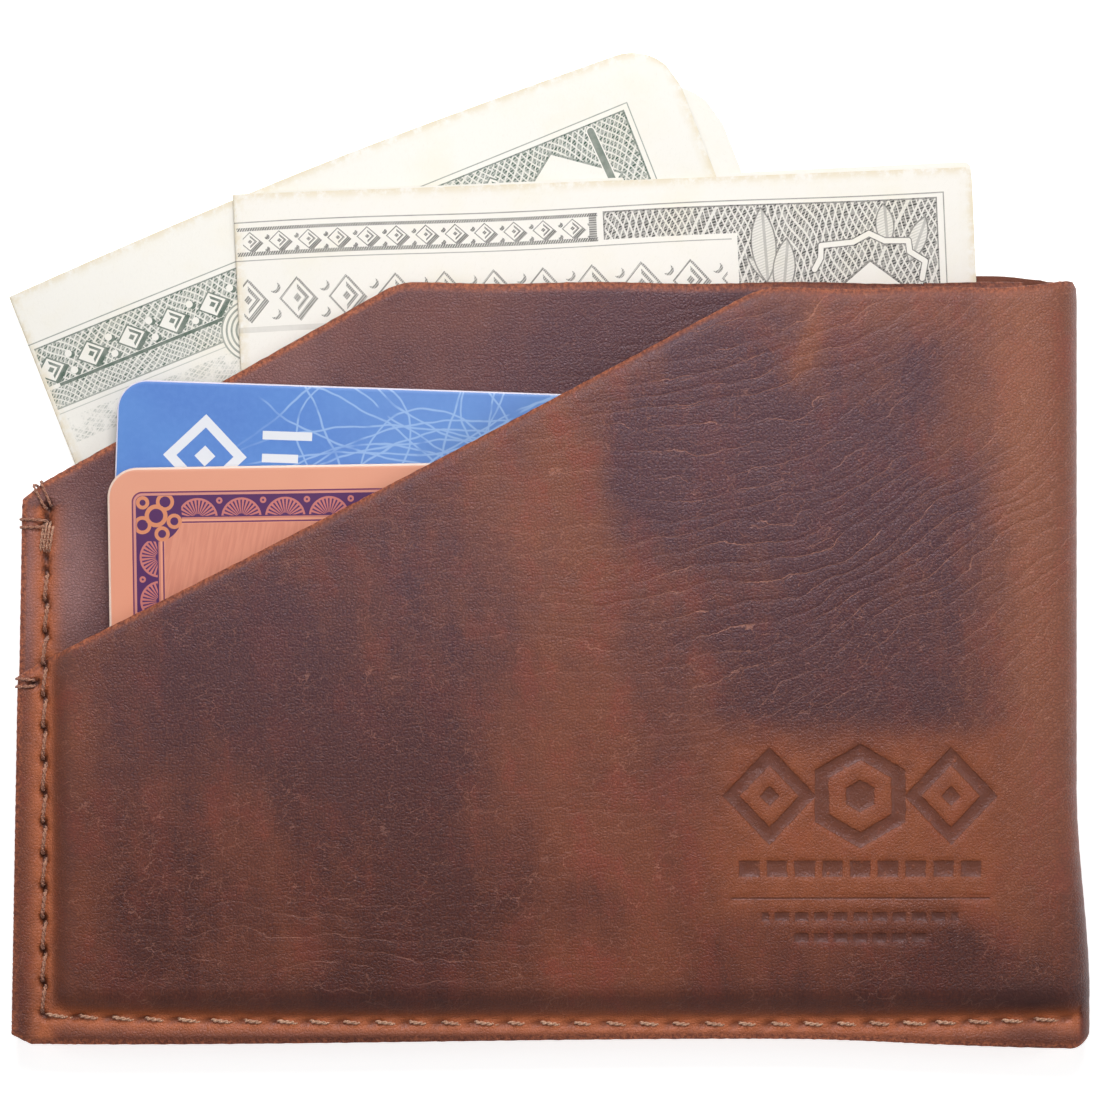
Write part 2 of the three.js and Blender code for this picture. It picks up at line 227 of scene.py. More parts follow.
class Shader:
    """A Principled material with helpers for its textures. Coordinates are the mesh's flat UVs, in mm.
    A colour is (r, g, b) as it looks, from 0 to 255, or a mix of colours."""

    def __init__(self, name, roughness=0.5, specular=0.5, sheen=0.0, coat=0.0):
        self.material = bpy.data.materials.new(name)
        self.material.use_nodes = True
        self.tree = self.material.node_tree
        self.surface = self.tree.nodes["Principled BSDF"]
        for key, value in (("Roughness", roughness), ("Specular IOR Level", specular), ("Sheen Weight", sheen),
                           ("Coat Weight", coat), ("Coat Roughness", 0.25)):
            self.surface.inputs[key].default_value = value
        self.uv = self.add("ShaderNodeUVMap", uv_map="flat").outputs[0]
        parts = self.add("ShaderNodeSeparateXYZ", {0: self.uv}).outputs
        self.u, self.v = Value(self.tree, parts[0]), Value(self.tree, parts[1])
        self.painted = None

    def add(self, kind, inputs=None, **settings):
        """A new node. Its inputs are numbers or other nodes' outputs."""
        made = self.tree.nodes.new(kind)
        for key, value in settings.items():
            setattr(made, key, value)
        for key, value in (inputs or {}).items():
            if isinstance(value, bpy.types.NodeSocket):
                self.tree.links.new(value, made.inputs[key])
            else:
                made.inputs[key].default_value = value
        return made

    def attribute(self, name):
        return Value(self.tree, self.add("ShaderNodeAttribute", attribute_name=name).outputs["Fac"])

    def place(self, size, stretch, turn, offset):
        """The flat coordinates turned by turn degrees, in units of size mm."""
        inputs = {"Vector": self.uv, "Location": (*offset, 0), "Rotation": (0, 0, math.radians(turn)),
                  "Scale": (size * stretch[0], size * stretch[1], 1)}
        return self.add("ShaderNodeMapping", inputs, vector_type="TEXTURE").outputs[0]

    def noise(self, size, detail=3.0, rough=0.5, stretch=(1.0, 1.0), turn=0.0, offset=(0.0, 0.0)):
        inputs = {"Vector": self.place(size, stretch, turn, offset), "Scale": 1.0, "Detail": detail,
                  "Roughness": rough}
        made = self.add("ShaderNodeTexNoise", inputs, noise_dimensions="2D")
        return Value(self.tree, made.outputs["Fac"])

    def cells(self, size, stretch=(1.0, 1.0), turn=0.0, bend=0.0):
        """How far a point is from the sides of its cell, in units of size. The cells' sides are bent."""
        place = self.place(size, stretch, turn, (0.0, 0.0))
        inputs = {"Vector": place, "Scale": 1.25, "Detail": 4}
        noise = self.add("ShaderNodeTexNoise", inputs, noise_dimensions="2D").outputs["Color"]
        inputs = {0: noise, 1: (bend, bend, 0), 2: place}
        bent = self.add("ShaderNodeVectorMath", inputs, operation="MULTIPLY_ADD").outputs[0]
        made = self.add("ShaderNodeTexVoronoi", voronoi_dimensions="2D", feature="DISTANCE_TO_EDGE")
        made.inputs["Scale"].default_value = 1.0
        self.tree.links.new(bent, made.inputs["Vector"])
        return Value(self.tree, made.outputs["Distance"])

    def mix(self, share, a, b):
        """Colour a where share is 0 and b where it is 1."""
        a, b = (linear(*colour) if isinstance(colour, tuple) else colour for colour in (a, b))
        inputs = {"Factor": share.socket, 6: a, 7: b}
        return self.add("ShaderNodeMix", inputs, data_type="RGBA", clamp_factor=True).outputs[2]

    def paint(self, share, colour):
        """Lays a colour over what is painted so far."""
        self.painted = self.mix(share, self.painted, colour)

    def roughness(self, value):
        self.tree.links.new(value.socket, self.surface.inputs["Roughness"])

    def finished(self, height=None, depth=0.0):
        """The painted material, with a relief of height from 0 to 1 that is depth mm deep."""
        self.tree.links.new(self.painted, self.surface.inputs["Base Color"])
        if height:
            bump = self.add("ShaderNodeBump", {"Distance": depth * MM, "Height": height.socket})
            self.tree.links.new(bump.outputs[0], self.surface.inputs["Normal"])
        return self.material


# ---- Meshes ----

def make_object(name, vertices, faces, uvs, material, attributes=None, sharp=None):
    mesh = bpy.data.meshes.new(name)
    mesh.from_pydata((np.asarray(vertices) * MM).tolist(), [], [tuple(map(int, f)) for f in faces])
    layer = mesh.uv_layers.new(name="flat")
    loops = np.zeros(len(mesh.loops), np.int32)
    mesh.loops.foreach_get("vertex_index", loops)
    layer.data.foreach_set("uv", np.asarray(uvs, np.float32)[loops].ravel())
    for key, values in (attributes or {}).items():
        made = mesh.attributes.new(key, "FLOAT", "POINT")
        made.data.foreach_set("value", np.asarray(values, np.float32).ravel())
    mesh.shade_smooth()
    if sharp:
        mesh.set_sharp_from_angle(angle=math.radians(sharp))
    obj = bpy.data.objects.new(name, mesh)
    bpy.context.scene.collection.objects.link(obj)
    mesh.materials.append(material)
    mesh.update()
    return obj


def grid_faces(columns, rows, start=0, flip=False):
    i, j = np.meshgrid(np.arange(columns - 1), np.arange(rows - 1), indexing="ij")
    a = start + i * rows + j
    quads = np.stack([a, a + rows, a + rows + 1, a + 1], axis=-1).reshape(-1, 4)
    return quads[:, ::-1] if flip else quads


def normals_of(points):
    across, up = np.gradient(points, axis=0), np.gradient(points, axis=1)
    n = np.cross(across, up)
    return n / np.linalg.norm(n, axis=2, keepdims=True)


def rim_indices(columns, rows):
    """The grid's outline, anticlockwise from its first corner."""
    bottom = [i * rows for i in range(columns)]
    right = [(columns - 1) * rows + j for j in range(1, rows)]
    top = [i * rows + rows - 1 for i in range(columns - 2, -1, -1)]
    left = [j for j in range(rows - 2, 0, -1)]
    return np.array(bottom + right + top + left)


def shell(name, middle, outer, inner, uv, material, masks, swell=0.12):
    """A closed sheet round the surface middle, outer and inner mm thick on its two sides, with a rounded rim.
    masks are numbers on its outer side; edge and flesh are 1 on the rim and on the inner side."""
    columns, rows = middle.shape[:2]
    normal = normals_of(middle)
    face = (middle + normal * outer[..., None]).reshape(-1, 3)
    back = (middle - normal * inner[..., None]).reshape(-1, 3)
    rim = rim_indices(columns, rows)
    flat = normal.reshape(-1, 3)[rim]
    along = np.roll(face[rim], -1, axis=0) - np.roll(face[rim], 1, axis=0)
    away = np.cross(along, flat)
    away /= np.linalg.norm(away, axis=1, keepdims=True)
    fibre = swell * (0.7 + 0.3 * np.sin(np.arange(len(rim)) * 2.1) * np.sin(np.arange(len(rim)) * 0.37))
    belt = (face[rim] + back[rim]) / 2 + away * fibre[:, None]
    count = columns * rows
    ring = np.arange(len(rim))
    after = np.roll(ring, -1)
    belts = 2 * count + ring
    upper = np.stack([rim, belts, belts[after], rim[after]], axis=1)
    lower = np.stack([belts, rim + count, rim[after] + count, belts[after]], axis=1)
    faces = np.concatenate([
        grid_faces(columns, rows), grid_faces(columns, rows, count, flip=True), upper, lower,
    ])
    flat_uv = uv.reshape(-1, 2)
    uvs = np.concatenate([flat_uv, flat_uv + (300, 0), flat_uv[rim]])
    vertices = np.concatenate([face, back, belt])
    attributes = {}
    for key, values in masks.items():
        inside, outline = float(key == "flesh"), float(key == "edge")
        attributes[key] = np.concatenate(
            [values.ravel(), np.full(count, inside), np.full(len(rim), outline)])
    return make_object(name, vertices, faces, uvs, material, attributes, sharp=60)


# ---- The leather's outline ----

def left_x(y):
    return LEFT_X + LEFT_LEAN * (y - BOTTOM_Y) / (SLANT_LEFT_Y - BOTTOM_Y)


def right_x(y):
    return FOLD_X + (RIGHT_X - FOLD_X) * smooth((FLARE_FROM_Y - y) / (FLARE_FROM_Y - FLARE_TO_Y))


def bottom_y(x):
    """The bowed bottom edge, with its clipped left corner and its rounded right one."""
    level = lerp(BOTTOM_Y + LEFT_RISE, BOTTOM_Y, (x - LEFT_X) / (RIGHT_X - LEFT_X))
    rise = smooth((x - ARCH_FROM_X) / (ARCH_TOP_X - ARCH_FROM_X))
    level = level + BOTTOM_ARCH * rise * (1 - smooth((x - ARCH_TOP_X) / (ARCH_TO_X - ARCH_TOP_X)))
    clipped = BOTTOM_Y + CORNER_CLIP - (x - LEFT_X) * 0.5
    past = np.clip(x - (RIGHT_X - CORNER_RADIUS), 0, CORNER_RADIUS * 0.98)
    return np.maximum(level, clipped) + CORNER_RADIUS - np.sqrt(CORNER_RADIUS ** 2 - past ** 2)


def soft_least(a, b, width):
    """The lower of two heights, rounded over width where they cross."""
    t = np.clip(0.5 + 0.5 * (b - a) / width, 0, 1)
    return lerp(b, a, t) - width * t * (1 - t)


def front_top(x):
    slope = (FRONT_TOP_Y - FRONT_SLANT_LEFT_Y) / (FRONT_SLANT_RIGHT_X - LEFT_X)
    hollow = 0.5 * np.sin(np.clip((x + 56) / 78, 0, 1) * math.pi)
    slant = FRONT_SLANT_LEFT_Y + (x - LEFT_X) * slope - hollow
    level = lerp(FRONT_TOP_Y, FOLD_TOP_Y, smooth((x - FOLD_X + FRONT_EASE) / FRONT_EASE))
    level = level + 0.12 * np.sin(x * 0.35)
    return soft_least(slant, level, 1.2)


def short_top(x, level):
    slope = (DIVIDER_TOP_Y - SLANT_LEFT_Y) / (SHORT_SLANT_RIGHT_X - LEFT_X - LEFT_LEAN)
    slant = SLANT_LEFT_Y + (x - LEFT_X - LEFT_LEAN) * slope
    return soft_least(slant, level, 1.0)


def back_top(x):
    level = lerp(BACK_TOP_Y, FOLD_TOP_Y, smooth((x - FOLD_X + BACK_EASE) / BACK_EASE))
    return short_top(x, level)


def divider_top(x):
    return short_top(x, DIVIDER_TOP_Y + 0.1 * np.sin(x * 0.3))


def parted(x, y):
    """0 where the seams press the layers together, 1 over the pockets."""
    inward = smooth((x - PRESSED_X) / (PARTED_X - PRESSED_X))
    return inward * smooth((y - PRESSED_Y) / (PARTED_Y - PRESSED_Y))


# ---- Stitches ----

def seam_sag(share):
    """How much the bottom row of stitches sags at this share of its length."""
    return SEAM_SAG * (1 - (2 * share - 1) ** 4)


def row_of(start, end, count):
    return [np.array(start) + (np.array(end) - np.array(start)) * k / count for k in range(count + 1)]


LEFT_HOLES = row_of((SEAM_X + 0.1, SEAM_TOP_Y), (SEAM_X, CORNER_Y), LEFT_STITCHES)
BOTTOM_HOLES = row_of((SEAM_X, CORNER_Y), (SEAM_RIGHT_X, SEAM_RIGHT_Y), BOTTOM_STITCHES)
for hole_number, bottom_hole in enumerate(BOTTOM_HOLES):
    bottom_hole[1] -= seam_sag(hole_number / BOTTOM_STITCHES)
BACK_STITCH = np.array((SEAM_X + 0.2, 3.4)), np.array((SEAM_X + 0.1, -0.9))
WRAPS = {
    "edge_wrap_top": {"hole": (-52.6, 4.4), "out": (-0.44, 0.898), "reach": 2.75, "layers": 2},
    "edge_wrap_side": {"hole": (-52.9, 2.75), "out": (-1.0, 0.0), "reach": 2.6, "layers": 2},
    "edge_wrap_lower": {"hole": (-53.95, -14.0), "out": (-1.0, 0.0), "reach": 1.85, "layers": 3},
}


def hole_mask(x, y):
    """1 in the awl slots, which lean across their seam."""
    found = np.zeros_like(x)
    lean = math.radians(18)
    slots = [(h, -math.pi / 2 + lean, 1.0) for h in LEFT_HOLES[1:-1] + list(BACK_STITCH)]
    slots += [(LEFT_HOLES[-1], -math.pi / 4, 0.8)] + [(h, lean, 0.55) for h in BOTTOM_HOLES[1:]]
    slots += [(np.array(w["hole"]), math.atan2(w["out"][1], w["out"][0]), 1.0) for w in WRAPS.values()]
    for hole, turn, strength in slots:
        along, across = turned(x, y, hole, turn)
        found = np.maximum(found, strength * np.exp(-(along / 0.68) ** 4 - (across / 0.38) ** 4))
    return found


def seam_y(x):
    """The bottom row of stitches, which sags between its ends."""
    t = np.clip((x - SEAM_X) / (SEAM_RIGHT_X - SEAM_X), 0, 1)
    return lerp(CORNER_Y, SEAM_RIGHT_Y, t) - seam_sag(t)


def seam_valley(x, y):
    """1 along the stitches, fading out on both sides."""
    left = np.exp(-((x - SEAM_X) / 1.3) ** 2) * (y < SEAM_TOP_Y + 3.5)
    bottom = np.exp(-((y - seam_y(x)) / 1.35) ** 2) * (x > SEAM_X - 1)
    return np.maximum(left, bottom)


# ---- The mark pressed into the leather ----

STAMP_X, STAMP_Y = 32.6, -25.8
# Each row of dashes: its height on the panel, half its length, half a dash's height, pitch and gap.
STAMP_DASHES = ((-33.4, 13.4, 0.85, 2.9, 0.75), (-36.5, 13.6, 0.12, 40, 0.1), (-38.4, 10.3, 0.45, 2.05, 0.6),
                (-40.6, 7.2, 0.45, 2.05, 0.6))


def stamp_mask(x, y):
    """A plain pattern of a hexagon between two lozenges, over rows of dashes and a rule."""
    dx, dy = np.abs(x - STAMP_X), np.abs(y - STAMP_Y)

    def inside(d, soft=0.16):
        return smooth(0.5 - d / (2 * soft))

    hexagon = np.maximum(dx * 0.5 + dy * 0.866, dx)
    lozenge = (np.abs(dx - 9.5) * 1.05 + dy) * 0.74
    marks = [inside(np.abs(hexagon - 4.0) - 0.75), inside(hexagon - 1.5), inside(np.abs(lozenge - 3.1) - 0.72),
             inside(lozenge - 0.8)]
    for middle, wide, half, pitch, gap in STAMP_DASHES:
        cell = np.abs((x - STAMP_X) / pitch - np.round((x - STAMP_X) / pitch)) * pitch
        marks.append(inside(np.maximum.reduce([
            dx - wide, np.abs(y - middle) - half, cell - (pitch - gap) / 2])))
    return np.maximum.reduce(marks)


def stamp_pattern(s):
    """The same marks in the shader, with crisp sides, and the rubbed patch round them."""
    x, y = s.attribute("across"), s.attribute("up")
    x = x + (s.noise(1.2, 2, 0.5) - 0.5) * 0.3
    dx, dy = (x - STAMP_X).abs(), (y - STAMP_Y).abs()
    hexagon = (dx * 0.5 + dy * 0.866).max(dx)
    lozenge = ((dx - 9.5).abs() * 1.05 + dy) * 0.74
    marks = [(hexagon - 4.0).abs() - 0.75, hexagon - 1.5, (lozenge - 3.1).abs() - 0.72, lozenge - 0.8]
    for middle, wide, half, pitch, gap in STAMP_DASHES:
        cell = repeated(x - STAMP_X + pitch / 2, pitch).abs()
        marks.append(most(dx - wide, (y - middle).abs() - half, cell - (pitch - gap) / 2))
    mark = 1.0 - reduce(Value.min, marks).ramp(-0.1, 0.07)
    outward = (dx * 0.62).max((y + 28.5).abs())
    face = s.attribute("face")
    return mark * s.noise(0.9, 3, 0.6).ramp(0.1, 0.42) * face, (1.0 - outward.ramp(6.5, 12.0)) * face


# ---- Where the leather is lighter and darker ----

def blots(x, y, spots):
    """Soft oval spots, each (x, y, half width, half height, turn in degrees, strength)."""
    total = np.zeros_like(x)
    for cx, cy, wide, high, turn, strength in spots:
        along, across = turned(x, y, (cx, cy), math.radians(turn))
        total = total + strength * np.exp(-((along / wide) ** 2 + (across / high) ** 2))
    return total


# Where the front panel and the divider are warm brown or dark with wax, where a pale sheen is painted on them,
# and where painted shade lies on the divider beside the front panel's slant edge.
FRONT_WARM = [
    (4, -16, 7, 42, 3, 0.75), (10, -40, 12, 14, 0, 0.35), (32, -30, 16, 9, 6, 0.8),
    (27.2, 21.5, 1.3, 4.6, -18, 1.0), (53, 6, 6, 44, 0, 1.0), (-26, -39, 3, 8, 10, 0.25),
    (-50, -28, 3, 30, 0, 0.4), (-50.5, -17, 3, 7, 0, 0.5), (46, -26, 5, 12, 0, 0.3), (3, 10, 5, 8, 0, 0.25),
    (36, 25.5, 16, 2.4, 0, 0.45), (42, 12, 3, 7, -8, 0.4), (-30, -42, 16, 3, 0, 0.3),
    (-4, -24, 5, 10, 6, 0.6), (-55.4, -26, 1.6, 26, 0, 0.6), (16, -14, 4, 5, 20, 0.3),
    (12, -46.5, 20, 3, 0, 0.4),
]
FRONT_DARK = [
    (-15, -20, 12, 17, 60, 0.6), (16, 10, 10, 12, 20, 0.65), (-34, -14, 14, 10, 30, 0.35),
    (28, -13, 19, 7, -8, 0.5), (33, 4, 14, 17, 14, 0.4), (-42, -42, 9, 5, 10, 0.5), (-16, -42, 8, 6, 20, 0.6),
    (44, -44, 10, 3, -4, 0.7), (26, -46, 26, 2.4, 0, 0.4), (24, 24, 5, 2.0, 5, 0.4), (-8, -36, 5, 6, 0, 0.3),
    (49, -47, 6, 1.8, 0, 0.9), (46, -22, 3, 9, 0, 0.4), (12, -34, 2.5, 8, 30, 0.3),
    (4.4, -37, 5, 4.5, 10, 0.65), (9, 9, 5, 6, 0, 0.3),
]
FRONT_SHEEN = [
    (49, 20, 4, 20, 0, 0.75), (51, -10, 4, 30, 0, 0.6), (34, 24.5, 12, 3, 0, 0.3), (-3, 2, 5, 9, 20, 0.25),
]
DIVIDER_WARM = [(-30, 20, 14, 4, 29, 0.6), (-53, 2, 3, 16, 0, 0.9), (-12, 25, 8, 3, 10, 0.4)]
# On the divider the dark spots lie just beside the front panel's slant edge: painted shade.
DIVIDER_PAINTED_SHADE = [(5, 20, 10, 5, 0, 0.6), (20, 27, 8, 3, 0, 0.4)]
DIVIDER_SHEEN = [(-50.4, -3, 3.4, 7.5, 0, 1.0), (-55, -4, 1.6, 9, 0, 0.7), (-27, 19, 6, 3, 29, 0.35)]
# Both panels have painted shade where they slope down to their seams, a painted shadow in the gap just above
# the front panel's top edge, darker strips along their outer edges, and the same crackled and creased places.
PAINTED_SHADE_AND_DARK_EDGES = [
    (36, 28.1, 20, 0.5, 0, 1.0), (0, -46.9, 54, 1.3, 0, 0.6), (-50.6, -30, 0.9, 18, 0, 0.35),
    (50, -46.6, 4.5, 1.3, 0, 1.0), (-55.8, -34, 1.0, 17, 0, 0.45), (-20, -51.4, 30, 0.7, 0, 0.7),
    (50, -50.8, 3, 1.0, 0, 0.7),
]
CRACKLED = [
    (49, -8, 5, 34, 0, 1.0), (31, -14, 15, 6, 0, 0.7), (8, -28, 14, 16, 0, 0.5), (-14, -12, 16, 7, 30, 0.5),
    (-34, -38, 16, 12, 0, 0.4), (-52, -20, 3, 30, 0, 0.5),
]
CREASED = [
    (30, -1, 30, 10, 13, 1.0), (24, 20, 26, 8, 20, 0.9), (50, -8, 5, 30, 0, 0.5),
    (-20, -42, 26, 6, -6, 0.55), (14, -24, 20, 8, 20, 0.4), (-22, 2, 16, 8, 20, 0.25),
]


# ---- Leather ----

def leather_material(name, tint):
    """Waxed pull-up leather: a fine grain, hairline creases and cloudy dark wax, with a painted sheen in paler
    places, painted shade along the seams, and pale specks that are partly painted glints.
    """
    s = Shader(name, roughness=0.5, specular=0.58)
    s.surface.inputs["Specular Tint"].default_value = (1.0, 0.86, 0.96, 1)
    warm, dark, low, edge, flesh, press, hole, creased, crackled, painted_shade_and_dark_edges, pale, across = map(
        s.attribute, ("warm", "dark", "low", "edge", "flesh", "press", "hole", "creased", "crackled", "painted_shade_and_dark_edges",
                      "pale", "across"))
    stamp, around = stamp_pattern(s)

    cloud = s.noise(15, 4, 0.62, (1.0, 1.4), 20)
    streak = s.noise(6, 4, 0.6, (1.0, 4.0), 4, (31, 7))
    mottle = s.noise(2.4, 5, 0.7)
    speck = s.noise(0.30, 3, 0.65)
    grain = s.cells(0.36, bend=0.75)
    net = s.cells(1.0, (2.3, 1.3), 24, bend=1.25)
    broken = s.noise(3.4, 3, 0.6, (1.8, 1.0), 14, (2, 50))

    # Long creases run level at the left and climb to the right.
    climb = (across - 8.0).max(0.0)
    rise = s.v - climb * climb * 0.011 + s.noise(12, 3, 0.55, (2.0, 1.0), 13, (7, 70)) * 9.0
    rise = rise + s.noise(1.3, 3, 0.6) * 0.5
    ridge = ((rise * 0.46).fract() - 0.5).abs()
    fine_ridge = ((rise * 0.93 + s.noise(3, 2, 0.5) * 1.2).fract() - 0.5).abs()
    drawn = broken.ramp(0.40, 0.56)
    long_line = (1.0 - ridge.ramp(0.0, 0.032)) * drawn * creased
    fine_drawn = s.noise(2.2, 3, 0.6, (1.8, 1.0), 20, (9, 5)).ramp(0.48, 0.62)
    fine_line = (1.0 - fine_ridge.ramp(0.0, 0.05)) * creased * fine_drawn
    small_drawn = s.noise(7, 3, 0.6, offset=(60, 3)).ramp(0.42, 0.64) * 0.7 + crackled * 0.6
    small_line = (1.0 - net.ramp(0.0, 0.036)) * small_drawn
    line = most(long_line * 1.3, fine_line * 0.75, small_line * 0.75).clamp()

    clouds = (streak - 0.5) * 1.1 + (cloud - 0.5) * 1.25 + (mottle - 0.5) * 0.6
    light = (warm - dark + clouds + 0.34).clamp()
    # The colours turn from greyish mauve at the top to deeper red-brown at the bottom: partly the leather's own
    # tone, partly a painted sheen towards the top.
    dark_tone = s.mix(low, tint["dark"], tint["deep"])
    s.painted = s.mix(light, dark_tone, s.mix(low, tint["warm"], tint["low_warm"]))
    reddish = s.noise(5, 5, 0.7, (1.0, 1.5), 10, (80, 20)).ramp(0.47, 0.68) * (light * 0.32 + 0.12)
    s.paint(reddish, tint["red"])
    # Painted sheen: a grey-pink sheen painted where the pale spots lie.
    s.paint(pale * (mottle * 0.5 + 0.35), tint["painted_sheen"])
    # Pale specks over the grain: partly the leather's own flecks, partly painted glints that stand in for the
    # grain's fine relief.
    rubbed = s.mix(low, tint["pale"], tint["low_pale"])
    s.paint(((speck - 0.42) * 2.4).clamp() * 0.36, rubbed)
    s.paint((1.0 - grain.ramp(0.0, 0.30)) * 0.28, (40, 16, 14))
    s.paint(line * 0.44, tint["line"])
    s.paint((press * (0.35 + mottle * 1.2)).clamp(), (178, 98, 56))
    s.paint(around * (mottle * 0.6 + 0.25), (152, 80, 38))
    s.paint(stamp * 0.62, (78, 46, 38))
    raw = s.mix(s.noise(0.4, 4, 0.7).ramp(0.3, 0.75), (104, 50, 32), (188, 108, 70))
    s.paint(edge * 0.9, raw)
    # Painted shade on the slopes down to the seams and painted shadow just above the front panel's top edge,
    # with the darker strips along the outer edges.
    s.paint(painted_shade_and_dark_edges * (mottle * 0.7 + 0.4), (50, 14, 3))
    suede = s.mix(s.noise(0.8, 5, 0.75), (84, 42, 28), (128, 74, 50))
    s.paint(flesh, suede)
    # The awl slots are painted near black: painted shade inside them.
    s.paint(hole * 0.9, (30, 12, 8))
    matt = (mottle - 0.5) * 0.22 + (speck - 0.5) * 0.14 + flesh * 0.35 + edge * 0.2 + painted_shade_and_dark_edges * 0.2
    s.roughness((matt + light * 0.04 - stamp * 0.04 + 0.44).clamp())
    height = grain.ramp(0.0, 0.35) * 0.34 * (1.0 - stamp * 0.7) + mottle * 0.5 + speck * 0.5 - stamp * 0.55
    return s.finished(height - line * 0.45 + ridge.ramp(0.0, 0.3) * creased * 0.55, 0.085)


# The colours of each panel's leather. The low ones are towards the bottom edge; the outer leather's upper ones
# are greyer and more mauve, partly its own tone and partly a painted sheen that grows towards the top.
OUTER_TINT = {
    "dark": (74, 42, 50), "deep": (68, 24, 6), "warm": (124, 68, 44), "low_warm": (122, 60, 28),
    "red": (138, 50, 34), "pale": (152, 104, 82), "low_pale": (146, 76, 36), "line": (204, 142, 118),
    "painted_sheen": (160, 98, 68),
}
DIVIDER_TINT = {
    "dark": (76, 42, 48), "deep": (72, 40, 40), "warm": (112, 66, 56), "low_warm": (112, 66, 56),
    "red": (104, 50, 44), "pale": (142, 100, 88), "low_pale": (142, 100, 88), "line": (170, 120, 104),
    "painted_sheen": (166, 122, 118),
}


def ripples(x, y):
    """The slow waves of a worn panel, about 1 at most."""
    waves = ((0.11, 0.05, 0.4), (-0.07, 0.16, 1.7), (0.21, -0.09, 3.1), (0.05, 0.27, 5.0), (0.33, 0.18, 2.2))
    return sum(np.sin(a * x + b * y + c) for a, b, c in waves) / len(waves)


def stations(*stretches):
    """Grid lines over stretches of (from, to, spacing)."""
    lines = [stretches[0][0]]
    for start, end, spacing in stretches:
        count = max(1, round(abs(end - start) / spacing))
        lines += list(np.linspace(start, end, count + 1)[1:])
    return np.array(lines)


def fit_left(x, y):
    """x with the strip outside the left seam drawn in to the edge, which leans."""
    share = (SEAM_X - left_x(y)) / (SEAM_X - LEFT_X)
    return np.where(x < SEAM_X, SEAM_X + (x - SEAM_X) * share, x)


def edge_fade(gap, width):
    """1 at the cut edge, 0 further in than width."""
    return 1 - smooth(gap / width)


def face_masks(x, y, top_gap, warm, dark, pale):
    """What the leather's surface shows at each point: its colour, seams, slots and cut edges."""
    spots = {"warm": warm, "dark": dark, "pale": pale, "creased": CREASED, "crackled": CRACKLED, "painted_shade_and_dark_edges": PAINTED_SHADE_AND_DARK_EDGES}
    masks = {key: np.clip(blots(x, y, places), 0, 1) for key, places in spots.items()}
    masks["low"] = smooth((8 - y) / 50)
    masks["press"] = np.clip(seam_valley(x, y) * 1.1, 0, 1)
    masks["hole"] = hole_mask(x, y)
    masks["edge"] = edge_fade(np.minimum(fit_gap(x, y), top_gap) - 0.35, 0.45)
    masks["flesh"] = np.zeros_like(x)
    return masks


def fit_gap(x, y):
    """How far a point is inside the left and bottom edges."""
    return np.minimum(x - left_x(y), y - bottom_y(x))


FLAT_X, FOLD_REACH = 51.7, 3.7  # where the grid's flat columns end, and the fold's reach beyond that
LOW_FLAT_X, LOW_REACH = 54.6, 2.1  # the same at the bottom, where the fold is pressed flat
CROWN = 0.45  # the front panel bulges by this over the cards
PULLED_X = 40.0  # the columns beyond this are drawn along to meet the fold
MARK_FROM_X, MARK_TO_X = 18.0, 47.0  # finer columns for the pressed mark
PANEL_HIGH = 79.6  # the rows' spacing is worked out for this height


